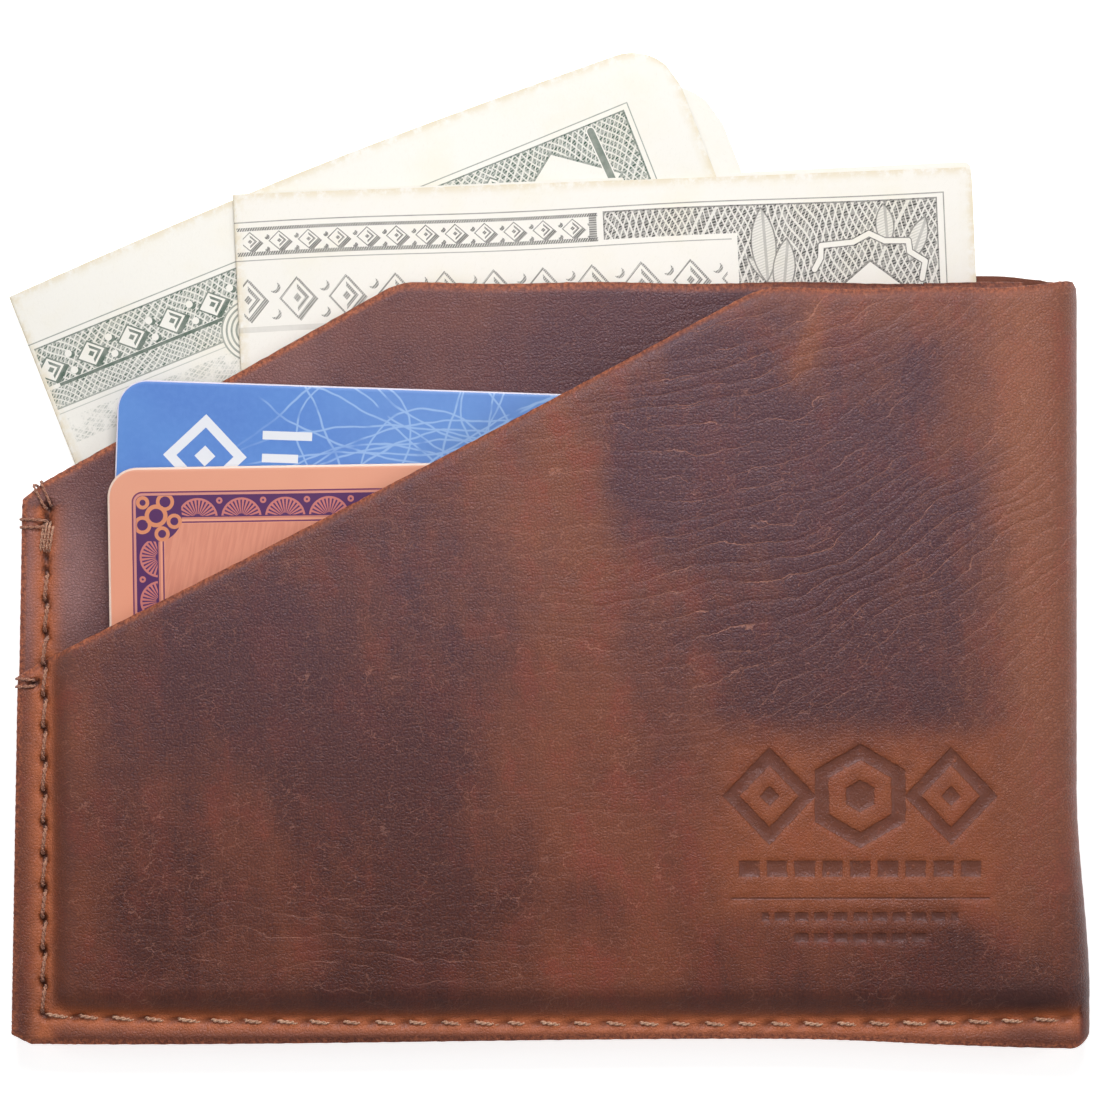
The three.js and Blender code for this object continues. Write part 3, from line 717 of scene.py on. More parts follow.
def make_wrap():
    front_x = stations((LEFT_X, PARTED_X, 0.3), (PARTED_X, MARK_FROM_X, 0.68),
                       (MARK_FROM_X, MARK_TO_X, 0.38), (MARK_TO_X, FLAT_X, 0.6))
    back_x = stations((FLAT_X, PARTED_X, 1.25), (PARTED_X, LEFT_X, 0.4))
    turns = np.linspace(0, 1, 23)[1:-1]
    rows = stations((0.0, 6.4, 0.3), (6.4, 9.6, 0.5), (9.6, 33, 0.4), (33, PANEL_HIGH, 0.68)) / PANEL_HIGH
    turn = np.concatenate([np.zeros(len(front_x)), turns, np.ones(len(back_x))])[:, None]
    nominal = np.concatenate([front_x, np.full(len(turns), FLAT_X), back_x])[:, None]
    bent = (turn > 0) & (turn < 1)
    across = np.where(bent, FLAT_X + FOLD_REACH * np.sin(turn * math.pi), nominal)
    top = np.where(turn < 0.5, front_top(across), back_top(across))
    fold_top = lerp(front_top(across), back_top(across), smooth((turn - 0.15) / 0.7))
    top = np.where(bent, fold_top, top)
    low_across = np.where(bent, LOW_FLAT_X + LOW_REACH * np.sin(turn * math.pi), nominal)
    bottom = bottom_y(low_across)
    y = bottom + (top - bottom) * rows[None, :]

    inner_front = lerp(SEAM_FRONT_Z, FRONT_Z, parted(FOLD_X, y))
    inner_back = lerp(SEAM_BACK_Z, 0.0, parted(FOLD_X, y)) + LEATHER
    radius = (inner_front - inner_back) / 2 + LEATHER / 2
    start = right_x(y) - radius - LEATHER / 2
    x = fit_left(nominal + 0 * y, y)
    pulled = PULLED_X + (x - PULLED_X) * (start - PULLED_X) / (FLAT_X - PULLED_X)
    x = np.where(x > PULLED_X, pulled, x)
    angle = math.pi * (0.5 - turn)
    fold_x = start + radius * np.cos(angle)
    fold_z = (inner_front + inner_back) / 2 + radius * np.sin(angle)

    crown = CROWN * np.clip(1 - (x / 54) ** 2, 0, 1) * np.clip(1 - ((y + 12) / 42) ** 4, 0, 1)
    loose = crown + 0.10 * ripples(x, y) * parted(x, y) * smooth((51 - x) / 8)
    front_z = lerp(SEAM_FRONT_Z, FRONT_Z, parted(x, y)) + LEATHER / 2 + loose
    back_z = lerp(SEAM_BACK_Z, 0.0, parted(x, y)) + LEATHER / 2
    z = np.where(turn == 0, front_z, np.where(turn == 1, back_z, fold_z))
    x = np.where(bent, fold_x, x)
    middle = np.stack([x, y, z], axis=-1)

    slanted = across < FRONT_SLANT_RIGHT_X
    gap = (top - y) * np.where((turn == 0) & slanted, 0.89, 1.0)
    raw_gap = gap * np.where(slanted, 1.5, 1.0)  # its cut edge shows narrower on the slant
    masks = face_masks(x, y, raw_gap, FRONT_WARM, FRONT_DARK, FRONT_SHEEN)
    stamp = np.where(turn == 0, stamp_mask(x, y), 0.0)
    masks["across"], masks["up"], masks["face"] = x, y, np.where(turn == 0, 1.0, 0.0 * y)
    for key in ("press", "hole"):
        masks[key] = np.where(bent & (x > SEAM_RIGHT_X + 1.2), 0.0, masks[key])
    rounding = 0.42 * edge_fade(gap, 0.9) + 0.3 * edge_fade(fit_gap(x, y), 0.8)
    outer = (LEATHER / 2 - rounding - 0.34 * masks["press"] - 0.75 * masks["hole"] - 0.24 * stamp
             + 0.02 * np.sin(x * 2.3 + y * 1.1) * np.sin(y * 2.9 - x * 0.7))
    inner = np.full_like(outer, LEATHER / 2) - 0.1 * edge_fade(gap, 0.5)
    run = np.concatenate([[0], np.cumsum(np.linalg.norm(np.diff(middle[:, 40], axis=0), axis=1))])
    flat = np.stack([(run[:, None] + 0 * y) - 56, y], axis=-1)
    material = leather_material("outer_leather", OUTER_TINT)
    return shell("wallet_wrap", middle, outer, inner, flat, material, masks)


def make_divider():
    nominal = stations((LEFT_X, PARTED_X, 0.3), (PARTED_X, DIVIDER_RIGHT_X, 0.75))[:, None]
    rows = stations((0.0, 5.0, 0.6), (5.0, 55, 1.0), (55, PANEL_HIGH, 0.5)) / PANEL_HIGH
    top, bottom = divider_top(nominal), bottom_y(nominal)
    y = bottom + (top - bottom) * rows[None, :]
    x = fit_left(nominal + 0 * y, y)
    z = lerp(SEAM_DIVIDER_Z, DIVIDER_Z, parted(x, y)) + LEATHER / 2
    middle = np.stack([x, y, z], axis=-1)
    gap = (top - y) * np.where(nominal < SHORT_SLANT_RIGHT_X, 0.87, 1.0)
    masks = face_masks(x, y, gap, DIVIDER_WARM, DIVIDER_PAINTED_SHADE, DIVIDER_SHEEN)
    rounding = 0.4 * edge_fade(gap, 0.7) + 0.3 * edge_fade(fit_gap(x, y), 0.8)
    outer = LEATHER / 2 - rounding - 0.3 * masks["press"] - 0.7 * masks["hole"]
    inner = np.full_like(outer, LEATHER / 2) - 0.1 * edge_fade(gap, 0.5)
    flat = np.stack([x + 200, y], axis=-1)
    material = leather_material("divider_leather", DIVIDER_TINT)
    return shell("wallet_divider", middle, outer, inner, flat, material, masks)


# ---- Thread ----

def thread_material():
    s = Shader("thread", roughness=0.7, specular=0.25, sheen=0.3)
    fibres, soil = s.noise(0.09, 3, 0.6, (1.0, 6.0), 20), s.attribute("soil")
    clean = s.mix(fibres.ramp(0.3, 0.7), (158, 106, 78), (226, 186, 158))
    soiled = s.mix(fibres.ramp(0.3, 0.75), (112, 64, 48), (196, 140, 114))
    s.painted = s.mix((soil * (s.noise(1.7, 2, 0.5) * 0.9 + 0.55)).clamp(), clean, soiled)
    return s.finished(fibres, 0.03)


def spline(points, per_piece=8):
    """A smooth curve through the points."""
    p = np.array(points, float)
    p = np.concatenate([[2 * p[0] - p[1]], p, [2 * p[-1] - p[-2]]])
    out = []
    for k in range(1, len(p) - 2):
        for t in np.linspace(0, 1, per_piece, endpoint=False):
            a, b, c, d = p[k - 1], p[k], p[k + 1], p[k + 2]
            out.append(0.5 * (2 * b + (c - a) * t + (2 * a - 5 * b + 4 * c - d) * t ** 2
                              + (3 * b - a - 3 * c + d) * t ** 3))
    return np.array(out + [p[-2]])


class Rope:
    """Collects twisted thread as one mesh: two plies wound round each other along each path."""

    def __init__(self):
        self.vertices, self.faces, self.uvs, self.soil = [], [], [], []

    def run(self, points, soil, thick=1.0, per_piece=6, phase=0.0):
        ply, lay = 0.115 * thick, 0.095 * thick  # a ply's radius, and its middle's from the thread's own
        pitch, sides = 1.3, 6
        path = spline(points, per_piece)
        step = np.gradient(path, axis=0)
        tangent = step / np.linalg.norm(step, axis=1, keepdims=True)
        helper = np.array([0.0, 0.0, 1.0])
        side = np.cross(tangent, helper)
        weak = np.linalg.norm(side, axis=1) < 0.2
        side[weak] = np.cross(tangent[weak], (0.31, 0.95, 0.0))
        side /= np.linalg.norm(side, axis=1, keepdims=True)
        for k in range(1, len(side)):
            if side[k] @ side[k - 1] < 0:
                side[k] *= -1
        over = np.cross(side, tangent)
        length = np.concatenate([[0], np.cumsum(np.linalg.norm(np.diff(path, axis=0), axis=1))])
        twist = phase + 2 * math.pi * length / pitch
        angles = np.arange(sides) * 2 * math.pi / sides
        for ply_turn in (0.0, math.pi):
            ply_angle = (twist + ply_turn)[:, None]
            middle = path + lay * (np.cos(ply_angle) * side + np.sin(ply_angle) * over)
            rings = (middle[:, None] + ply * (np.cos(angles)[None, :, None] * side[:, None]
                                              + np.sin(angles)[None, :, None] * over[:, None]))
            self.tube(rings, length, angles, soil)

    def tube(self, rings, length, angles, soil):
        start = sum(len(v) for v in self.vertices)
        count, sides = rings.shape[:2]
        self.vertices.append(rings.reshape(-1, 3))
        self.soil.append(np.full(count * sides, soil))
        uvs = np.broadcast_arrays(length[:, None], angles[None] * 0.1)
        self.uvs.append(np.stack(uvs, axis=-1).reshape(-1, 2))
        for k in range(count - 1):
            for m in range(sides):
                n = (m + 1) % sides
                a, b = start + k * sides, start + (k + 1) * sides
                self.faces.append((a + m, a + n, b + n, b + m))
        self.faces.append(tuple(start + m for m in range(sides))[::-1])
        self.faces.append(tuple(start + (count - 1) * sides + m for m in range(sides)))

    def object(self, name, material):
        vertices, uvs = np.concatenate(self.vertices), np.concatenate(self.uvs)
        obj = make_object(name, vertices, self.faces, uvs, material, {"soil": np.concatenate(self.soil)})
        tidy = bmesh.new()
        tidy.from_mesh(obj.data)
        bmesh.ops.recalc_face_normals(tidy, faces=tidy.faces)
        tidy.to_mesh(obj.data)
        tidy.free()
        return obj


def face_height(x, y):
    """The top of the leather at the left seam: the front panel begins below its slant."""
    return (SEAM_FRONT_Z if y < front_top(x) + 0.4 else SEAM_DIVIDER_Z) + LEATHER


# The height of a stitch's middle over the leather, at shares of its length.
STITCH_LIFTS = ((0.0, -1.1), (0.06, -0.35), (0.2, 0.02), (0.5, 0.10), (0.8, 0.02), (0.94, -0.35), (1.0, -1.1))


def stitch(rope, start, end, height, side, soil, slip=0.0, phase=0.0, thick=1.0, sink=0.0):
    """One stitch from slot to slot. It comes up at one end of its slot and goes down at the other end,
    and with sink it is drawn into the leather before that."""
    way = (end - start) / np.linalg.norm(end - start)
    across = np.array([-way[1], way[0]])
    first = start + way * 0.25 + across * (slip + 0.16)
    last = end - way * 0.25 + across * (slip - 0.16)
    points = []
    for share, lift in STITCH_LIFTS:
        p = first + (last - first) * share
        level = max(height(*first), height(*last)) if 0.1 < share < 0.9 else height(*p)
        points.append((p[0], p[1], level + side * (lift - 0.12 - sink * max(0.0, share - 0.35))))
    rope.run(points, soil, thick, phase=phase)


def make_stitches():
    material = thread_material()
    front, back = Rope(), Rope()
    holes = LEFT_HOLES + BOTTOM_HOLES[1:]
    for k in range(len(holes) - 1):
        left = k < LEFT_STITCHES
        soil, sink = (0.9, 0.0) if left else (0.05 + 0.45 * (k * 0.37 % 1), 0.9 + 0.5 * (k * 0.61 % 1))
        if k > 0:
            stitch(front, holes[k], holes[k + 1], face_height, 1, soil, phase=k * 1.3, sink=sink)
        stitch(back, holes[k], holes[k + 1], lambda x, y: SEAM_BACK_Z, -1, soil, phase=k * 0.9)
    # The seam begins with back stitches: strands side by side in one stitch.
    first, second = BACK_STITCH
    for slip, phase in ((-0.42, 0.4), (-0.14, 2.0), (0.16, 3.1), (0.44, 1.2)):
        stitch(front, first + (slip * 0.4, -abs(slip)), second + (slip * 0.3, 0.3), face_height, 1, 0.55,
               slip * 0.8, phase, 0.72)
    return front.object("stitches_front", material), back.object("stitches_back", material), material


def make_wrap_thread(name, material):
    """Thread wound twice round an edge and through its slot."""
    spec = WRAPS[name]
    hole, out = np.array(spec["hole"]), np.array(spec["out"])
    out = out / np.linalg.norm(out)
    sideways = np.array([-out[1], out[0]])
    top = (SEAM_FRONT_Z if spec["layers"] == 3 else SEAM_DIVIDER_Z) + LEATHER
    high, low, far = top + 0.12, SEAM_BACK_Z - 0.12, spec["reach"] + 0.1
    rope = Rope()
    for turn in (-1, 1):
        shift = turn * 0.3
        route = [(0.1, 0.0, top - 1.0), (0.12, 0.0, high - 0.3), (0.5, 0.05, high), (far * 0.55, 0.1, high),
                 (far - 0.35, 0.12, high - 0.08), (far, 0.12, high - 0.6), (far, 0.1, (high + low) / 2),
                 (far, 0.05, low + 0.6), (far - 0.35, 0.0, low), (0.5, -0.05, low), (0.12, -0.05, low + 0.35),
                 (0.1, 0.0, low + 1.1)]
        points = []
        for along, across, z in route:
            p = hole + out * along + sideways * (shift + across * turn)
            points.append((p[0], p[1], z))
        rope.run(points, 1.0, 0.8, 5, turn)
    return rope.object("thread_" + name, material)


# ---- Cards ----

CARD_WIDTH, CARD_HEIGHT, CARD_CORNER, CARD_THICK = 85.6, 53.98, 3.18, 0.76
CARD_PLACES = {"card_front": (-46.35, 8.55, 0.9), "card_rear": (-45.25, 17.95, -1.95)}


def placed(obj, x, y, z, tilt):
    """Turns and moves a mesh made round its own top left corner to its place in the wallet."""
    obj.data.transform(Matrix.Translation(Vector((x, y, z)) * MM) @ Matrix.Rotation(math.radians(tilt), 4, "Z"))
    return obj


def card_ring(inset):
    """The card's outline, inset mm inside its edge."""
    radius = CARD_CORNER - inset
    points = []
    for cx, cy, start in ((CARD_WIDTH - CARD_CORNER, -CARD_CORNER, 0), (CARD_CORNER, -CARD_CORNER, 90),
                          (CARD_CORNER, CARD_CORNER - CARD_HEIGHT, 180),
                          (CARD_WIDTH - CARD_CORNER, CARD_CORNER - CARD_HEIGHT, 270)):
        for k in range(13):
            a = math.radians(start + 90 * k / 12)
            points.append((cx + radius * math.cos(a), cy + radius * math.sin(a)))
    return points


def make_card(name, material):
    """A laminated card with a rounded edge."""
    profile = ((0.5, 0.0), (0.16, 0.0), (0.04, 0.06), (0.0, 0.2), (0.0, CARD_THICK - 0.2),
               (0.04, CARD_THICK - 0.06), (0.16, CARD_THICK), (0.5, CARD_THICK))
    vertices, faces = [], []
    for inset, z in profile:
        vertices += [(x, y, z) for x, y in card_ring(inset)]
    count = len(vertices) // len(profile)
    for level in range(len(profile) - 1):
        for k in range(count):
            n = (k + 1) % count
            a, b = level * count, (level + 1) * count
            faces.append((a + k, a + n, b + n, b + k))
    faces.append(tuple(range(count))[::-1])
    faces.append(tuple(range((len(profile) - 1) * count, len(profile) * count)))
    edge = [1.0 if 1 < level < len(profile) - 2 else 0.0 for level in range(len(profile)) for _ in range(count)]
    uvs = [(x, -y) for x, y, z in vertices]
    return make_object(name, vertices, faces, uvs, material, {"edge": edge}, sharp=35)


def frame_gap(s, inset, corner):
    """How far a point is inside a frame drawn inset mm within a card's edge."""
    half_x, half_y = CARD_WIDTH / 2 - inset - corner, CARD_HEIGHT / 2 - inset - corner
    qx, qy = (s.u - CARD_WIDTH / 2).abs() - half_x, (s.v - CARD_HEIGHT / 2).abs() - half_y
    return corner - distance(qx.max(0), qy.max(0)) - qx.max(qy).min(0)


def finished_card(s, rim, core, roughness, depth):
    """The card's pale core, rim mm wide along its edge, and the faint unevenness of its plastic."""
    s.paint(frame_gap(s, 0.0, CARD_CORNER).less(rim).max(s.attribute("edge")), core)
    s.roughness((s.noise(9, 4, 0.6) * 0.2 + roughness).clamp())
    return s.finished(s.noise(0.4, 3, 0.6), depth)


def orange_material():
    """Salmon plastic with a printed border: plum lines round a plum band of fans, and a knot in one corner."""
    s = Shader("orange_card", roughness=0.38, specular=0.5, coat=0.15)
    inset = 2.55  # of the border
    frame_in = frame_gap(s, inset, 1.1)
    u, v = s.u - inset, s.v - inset
    plum, deep = (112, 52, 92), (84, 42, 92)
    s.painted = s.mix(s.v.ramp(0, 16), (222, 154, 128), (226, 152, 124))
    s.paint(s.noise(7, 3, 0.5).ramp(0.3, 0.7) * 0.25, (226, 162, 132))
    inner = s.noise(0.35, 2, 0.5, (1, 12), 12).ramp(0.35, 0.65)
    s.paint(frame_in.more(3.4), s.mix(inner, (208, 134, 112), (216, 144, 120)))
    for low, high, colour in ((0.0, 0.16, plum), (0.16, 0.42, (206, 138, 126)), (0.42, 2.75, deep)):
        s.paint(frame_in.between(low, high), colour)
    # Fans along the band: arches of rays that stand on its inner side.
    run = (frame_in - v).abs().less(0.02).mixed(v, u)
    reach, pitch = frame_in - 0.42, 4.6
    turn = repeated(run, pitch)
    fan = distance(turn, 2.45 - reach)
    rays = (turn.arctan2(2.5 - reach) * (14 / math.pi)).fract().between(0.22, 0.78)
    bead = distance(repeated(run + pitch / 2, pitch), reach - 0.62).between(0.12, 0.34)
    light = most(fan.between(0.45, 1.95) * rays, fan.between(1.9, 2.12), bead) * reach.between(0.12, 2.2)
    corner = u.min(v).more(-9) * u.max(v).less(5.2)
    s.paint(light * (1.0 - corner), (196, 118, 112))
    s.paint(frame_in.between(2.75, 2.95), (198, 126, 112))
    s.paint(frame_in.between(3.18, 3.34), plum)
    # The corner knot: five rings round a ring.
    cu, cv = s.u - 5.1, s.v - 5.1
    middle = distance(cu, cv)
    rings = ((-1.45, 0.95, 0.95), (0.95, -1.45, 0.95), (-1.4, -1.4, 0.7), (1.9, 0.6, 0.8), (0.6, 1.9, 0.8))
    knot = most(middle.between(0.75, 1.2), *(
        distance(cu - du, cv - dv).between(radius - 0.38, radius) for du, dv, radius in rings))
    knot_zone = middle.less(3.4) * u.more(0.45) * v.more(0.45)
    s.paint(middle.less(2.7) * knot_zone, deep)
    s.paint(knot * knot_zone, (212, 136, 100))
    return finished_card(s, 0.24, (226, 198, 182), 0.3, 0.004)


# The blue card's fine arcs: the middle of each, and its radius.
ARCS = (
    (60, 40, 42), (24, 44, 37), (46, -22, 29), (70, 12, 36), (12, 30, 31), (38, 34, 31), (56, 22, 24),
    (30, -16, 23), (84, 30, 48), (20, -30, 40), (44, 14, 11), (33, 9, 7), (52, 4, 13), (66, -8, 22),
    (40, 60, 55), (28, 26, 20), (48, 30, 26), (25, 5, 6), (300, 130, 290), (-220, 120, 268),
    (240, -160, 257), (-160, -190, 262), (41, 2, 5), (29, 50, 46), (58, -40, 52), (37, 20, 16),
)


def blue_material():
    """Blue plastic with a drift of fine pale arcs, and a plain white mark of a lozenge ring and bars."""
    s = Shader("blue_card", roughness=0.42, specular=0.4, coat=0.1)
    s.painted = s.mix(s.noise(14, 2, 0.5).ramp(0.3, 0.75), (84, 126, 198), (92, 138, 206))
    s.paint(s.noise(0.7, 3, 0.6).ramp(0.35, 0.75) * 0.18, (108, 150, 214))
    wobble = (s.noise(5, 2, 0.5) - 0.5) * 0.9
    gaps = [(distance(s.u - cx, s.v - cy) - radius + wobble).abs() for cx, cy, radius in ARCS]
    lines = 1.0 - reduce(Value.min, gaps).ramp(0.04, 0.15)
    drift = (s.u + wobble * 9).ramp(13.5, 18) * s.noise(4, 2, 0.5, offset=(9, 4)).ramp(0.22, 0.42)
    s.paint(s.u.ramp(17, 30) * 0.22, (128, 160, 208))
    s.paint(lines * drift * 0.72, (158, 188, 228))
    lozenge = (s.u - 9.4).abs() + (s.v - 7.8).abs()
    bar_ends = ((5.4, 20.6), (7.8, 19.2), (10.2, 17.8))
    bars = (s.v.near(middle, 0.9) * s.u.between(15.4, end) for middle, end in bar_ends)
    s.paint(most(lozenge.between(3.0, 4.4), lozenge.less(1.1), *bars), (222, 224, 230))
    return finished_card(s, 0.16, (212, 206, 220), 0.34, 0.006)


# ---- Banknotes ----

NOTE_HEIGHT = 66.3
# Each note's top left corner and its tilt, and its front and rear leaves: how wide they are, how far the
# top edge drops, and how much of the free corner is worn round.
NOTES = {
    "note_front": {
        "place": (-33.3, 37.5, 2.55), "leaves": (77.98, 77.98), "drops": (0.6, 0.0), "worn": (0.8, 0.8)},
    "note_rear": {
        "place": (-57.0, 26.7, 21.5), "leaves": (74.2, 76.9), "drops": (0.0, 4.7), "worn": (5.2, 6.0)},
}
PAPER = 0.11
FOLD = 0.3  # the fold's own width


def worn_top(u, width, drop, worn, bow):
    """How far a leaf's top edge is below its corner's level, u mm from the fold."""
    past = np.clip((u - (width - worn)) / worn, 0, 1)
    rounded = worn * (1 - np.sqrt(np.maximum(1 - past ** 2, 0)))
    return drop * u / width + rounded - bow * np.sin(math.pi * u / width)


def make_note(name, label, material, bow, curl):
    """A sheet folded at its left edge: one surface that runs over the front leaf, round the fold and back."""
    spec = NOTES[name]
    (wide, rear), (drop, rear_drop), (worn, rear_worn) = spec["leaves"], spec["drops"], spec["worn"]
    low, high = node_box(name)
    gap = (high[2] - low[2]) / 2 - PAPER / 2
    middle_z = (high[2] - low[2]) / 2
    front_u = np.concatenate([np.linspace(wide, wide - worn, 9), np.linspace(wide - worn, FOLD, 90)[1:]])
    rear_flat = rear - rear_worn
    rear_u = np.concatenate([np.linspace(FOLD, rear_flat, 60), np.linspace(rear_flat, rear, 9)[1:]])
    bends = np.linspace(0, 1, 9)[1:-1]
    u = np.concatenate([front_u, FOLD - FOLD * np.sin(bends * math.pi), rear_u])[:, None]
    leaf = np.concatenate([np.ones(len(front_u)), np.cos(bends * math.pi), -np.ones(len(rear_u))])[:, None]
    share = (1 + leaf) / 2
    top = lerp(worn_top(u, rear, rear_drop, rear_worn, bow), worn_top(u, wide, drop, worn, bow), share)
    rows = np.linspace(0, 1, 70)[None, :] ** 1.25
    v = NOTE_HEIGHT + (top - NOTE_HEIGHT) * (1 - rows)
    y = -v
    free = smooth((30 - v) / 30) ** 1.5
    wave = (curl * free * (0.5 * np.sin(u * 0.075 + v * 0.05 + 1.0) + 0.25 * np.sin(u * 0.21 - v * 0.11)
                           + 0.9 * smooth((u - 52) / 26) * smooth((22 - v) / 22)))
    z = middle_z + gap * leaf + wave + (1 - leaf) * 0.5 * free * -0.12
    middle = np.stack([u + 0 * v, y, z], axis=-1)
    half = np.full(z.shape, PAPER / 2)
    sheet_u = np.where(leaf > 0, u, -u)
    flat = np.stack([sheet_u + 0 * v, v], axis=-1)
    rim = edge_fade(np.minimum(v - top, np.minimum(np.abs(u), np.where(leaf > 0, wide - u, rear - u))), 1.1)
    masks = {"rim": rim}
    obj = shell(label, middle, half, half, flat, material, masks, swell=0.02)
    return placed(obj, spec["place"][0], spec["place"][1], low[2], spec["place"][2])


def hatch(run, pitch, duty):
    return (run / pitch).fract().less(duty)


def engraved(s, pitch, lean, tone=0.5):
    """Close dark engraving crossed by two sets of fine pale curves."""
    sway = (s.u * 0.9 + s.v * 0.5).sin() * 0.35 + (s.u * 0.31).sin() * 0.8
    fine = hatch(s.v + s.u * 0.35 + sway * 0.3, 0.30, 0.55)
    ground = fine * s.noise(0.5, 2, 0.6).ramp(0.3, 0.6) * 0.45 + tone
    climbing = hatch(s.u + s.v * lean + sway, pitch, 0.27)
    falling = hatch(s.u - s.v * lean - sway * 0.7, pitch * 1.14, 0.25)
    return ground * (1.0 - climbing.max(falling) * 0.82)


def note_shader(name, paper, stain):
    s = Shader(name, roughness=0.8, specular=0.2)
    s.painted = s.mix(s.noise(9, 5, 0.6).ramp(0.45, 0.8) * 0.5, paper, stain)
    s.paint(s.noise(0.25, 3, 0.7, (1, 2.5), 30).ramp(0.55, 0.8) * 0.10, (188, 180, 166))
    s.paint((s.attribute("rim") * s.noise(1.6, 4, 0.7).ramp(0.3, 0.6)).clamp() * 0.55, (214, 196, 156))
    return s


def printed(s, ink, frame, colour, least):
    """The note's paper with ink in its frame on the front leaf, worn thin in places."""
    ink = ink.max(frame * 0.6) * s.u.more(0.0) * (s.noise(1.3, 3, 0.6) * 0.5 + least)
    s.paint(ink.clamp(), colour)
    return s.finished(s.noise(0.3, 4, 0.7) + ink * 0.2, 0.012)


def cleared(ink, shape, within=0.0):
    """The ink with a shape left out of it, and within in its place."""
    return ink * (1.0 - shape) + shape * within


def leaf_shape(s, tip, base, width):
    """A pointed leaf from tip to base as the overlap of two circles: (inside, outline, rib)."""
    length = math.dist(tip, base)
    middle = (tip[0] + base[0]) / 2, (tip[1] + base[1]) / 2
    along, across = turned(s.u, s.v, middle, math.atan2(base[1] - tip[1], base[0] - tip[0]))
    radius = (length ** 2 + width ** 2) / (4 * width)
    shift = radius - width / 2
    far = distance(along, across - shift).max(distance(along, across + shift))
    return far.less(radius), (far - radius).abs().less(0.08), across.between(-0.3, 0.0) * far.less(radius)


def stroke(s, points, width):
    """A bent line through the points: (the line, the line and its outline)."""
    gaps = []
    for (au, av), (bu, bv) in zip(points, points[1:]):
        du, dv = bu - au, bv - av
        length = math.hypot(du, dv)
        along = ((s.u - au) * (du / length) + (s.v - av) * (dv / length)).max(0.0).min(length)
        gaps.append(distance(s.u - au - along * (du / length), s.v - av - along * (dv / length)))
    gap = reduce(Value.min, gaps)
    return gap.less(width / 2), gap.less(width / 2 + 0.12)


def beads(s, v_low, v_high, pitch, shift=0.0):
    """A row of raised lozenges with a pair of pips between them: (faces, shaded sides, dark hearts)."""
    middle, half = (v_low + v_high) / 2, (v_high - v_low) / 2

    def shape(u, v):
        cell, other = repeated(u + shift, pitch), repeated(u + shift + pitch / 2, pitch)
        lozenge = (cell.abs() / (pitch * 0.37) + v.abs() / half).less(1.0)
        pips = distance(other, v.abs() - half * 0.62).less(half * 0.25)
        return lozenge.max(pips), cell

    face, cell = shape(s.u, s.v - middle)
    cast, _ = shape(s.u - 0.28, s.v - middle - 0.24)
    heart = cell.abs() / (pitch * 0.37) + (s.v - middle).abs() / half
    core = most(heart.less(0.22), heart.between(0.42, 0.66) * cell.more(0.0), heart.between(0.86, 1.0))
    return face, cast * (1.0 - face), core


def grey_note_material():
    """Cream paper printed in grey: a frame, a banner of beads, an engraved band, leaves and a panel."""
    s = note_shader("note_front_paper", (234, 230, 223), (232, 226, 208))
    s.v = s.v + (s.u * 0.16).sin() * 0.1
    frame = most(s.v.near(3.05, 0.13) * s.u.less(74.95), s.u.near(74.9, 0.13) * s.v.more(3.0))

    # The banner at the left: two rules with beads between them, and a row of larger beads below.
    banner = s.u.between(0.2, 38.3)
    rules = s.v.between(3.62, 3.98).max(s.v.between(6.2, 6.62)) * hatch(s.u + s.v * 0.6, 0.26, 0.7)
    block = s.u.between(37.4, 38.2) * s.v.between(3.62, 6.62) * (hatch(s.v, 0.24, 0.5) * 0.4 + 0.4)
    inside = s.v.between(4.0, 6.2) * s.u.between(0.8, 37.4)
    row = s.u.between(0.6, 51.8) * s.v.between(8.9, 13.9)
    rows_of_beads = beads(s, 4.05, 6.15, 3.1), beads(s, 9.0, 13.5, 5.2, 1.5)
    small, large = (shade.max(core) for _, shade, core in rows_of_beads)

    # The engraved band and panel at the right.
    band = s.u.between(38.9, 74.2) * s.v.between(3.5, 6.5)
    ground = band.max(s.u.between(53.0, 74.2) * s.v.between(3.5, 40))
    ink = most(
        most(rules * 0.85, block) * banner,
        small * inside * (hatch(s.v + s.u, 0.26, 0.6) * 0.35 + 0.5),
        s.v.near(7.1, 0.11) * s.u.less(52.4) * 0.55,
        large * row * (hatch(s.v * 0.9 + s.u, 0.3, 0.6) * 0.4 + 0.35),
        s.v.between(14.1, 14.7) * s.u.less(52) * 0.18,
        ground * engraved(s, 0.66, 0.42, 0.56),
        ground * most(s.v.less(3.66), s.u.more(74.06), s.u.less(39.05)) * 0.7,
    )
    leaves = (
        ((54.0, 9.1), (58.6, 12.4), 2.0), ((55.6, 3.9), (55.9, 11.8), 2.6), ((58.2, 7.2), (57.4, 13.6), 2.3),
        ((68.5, 3.95), (68.7, 8.4), 1.9), ((72.9, 5.5), (71.0, 10.2), 1.9))
    for tip, base, width in leaves:
        filled, outline, rib = leaf_shape(s, tip, base, width)
        ink = cleared(ink, filled, hatch(s.v + s.u * 0.4, 0.3, 0.4) * 0.22 + 0.1)
        ink = most(ink, outline * 0.7, rib * 0.45)
    scroll = ((61.0, 10.6), (61.7, 9.4), (61.8, 8.1), (65.2, 7.85), (66.9, 7.0), (68.5, 7.85), (71.0, 7.95),
              (71.1, 9.1), (72.7, 10.2), (72.3, 12.0))
    line, lined = stroke(s, scroll, 0.55)
    ink = cleared(ink.max(lined * 0.75), line)
    lozenge = (s.u - 66.9).abs() * 0.8 + (s.v - 12.6).abs()
    ink = cleared(ink.max(lozenge.less(2.9) * 0.7), lozenge.less(2.6))
    return printed(s, ink, frame, (70, 68, 66), 0.74)


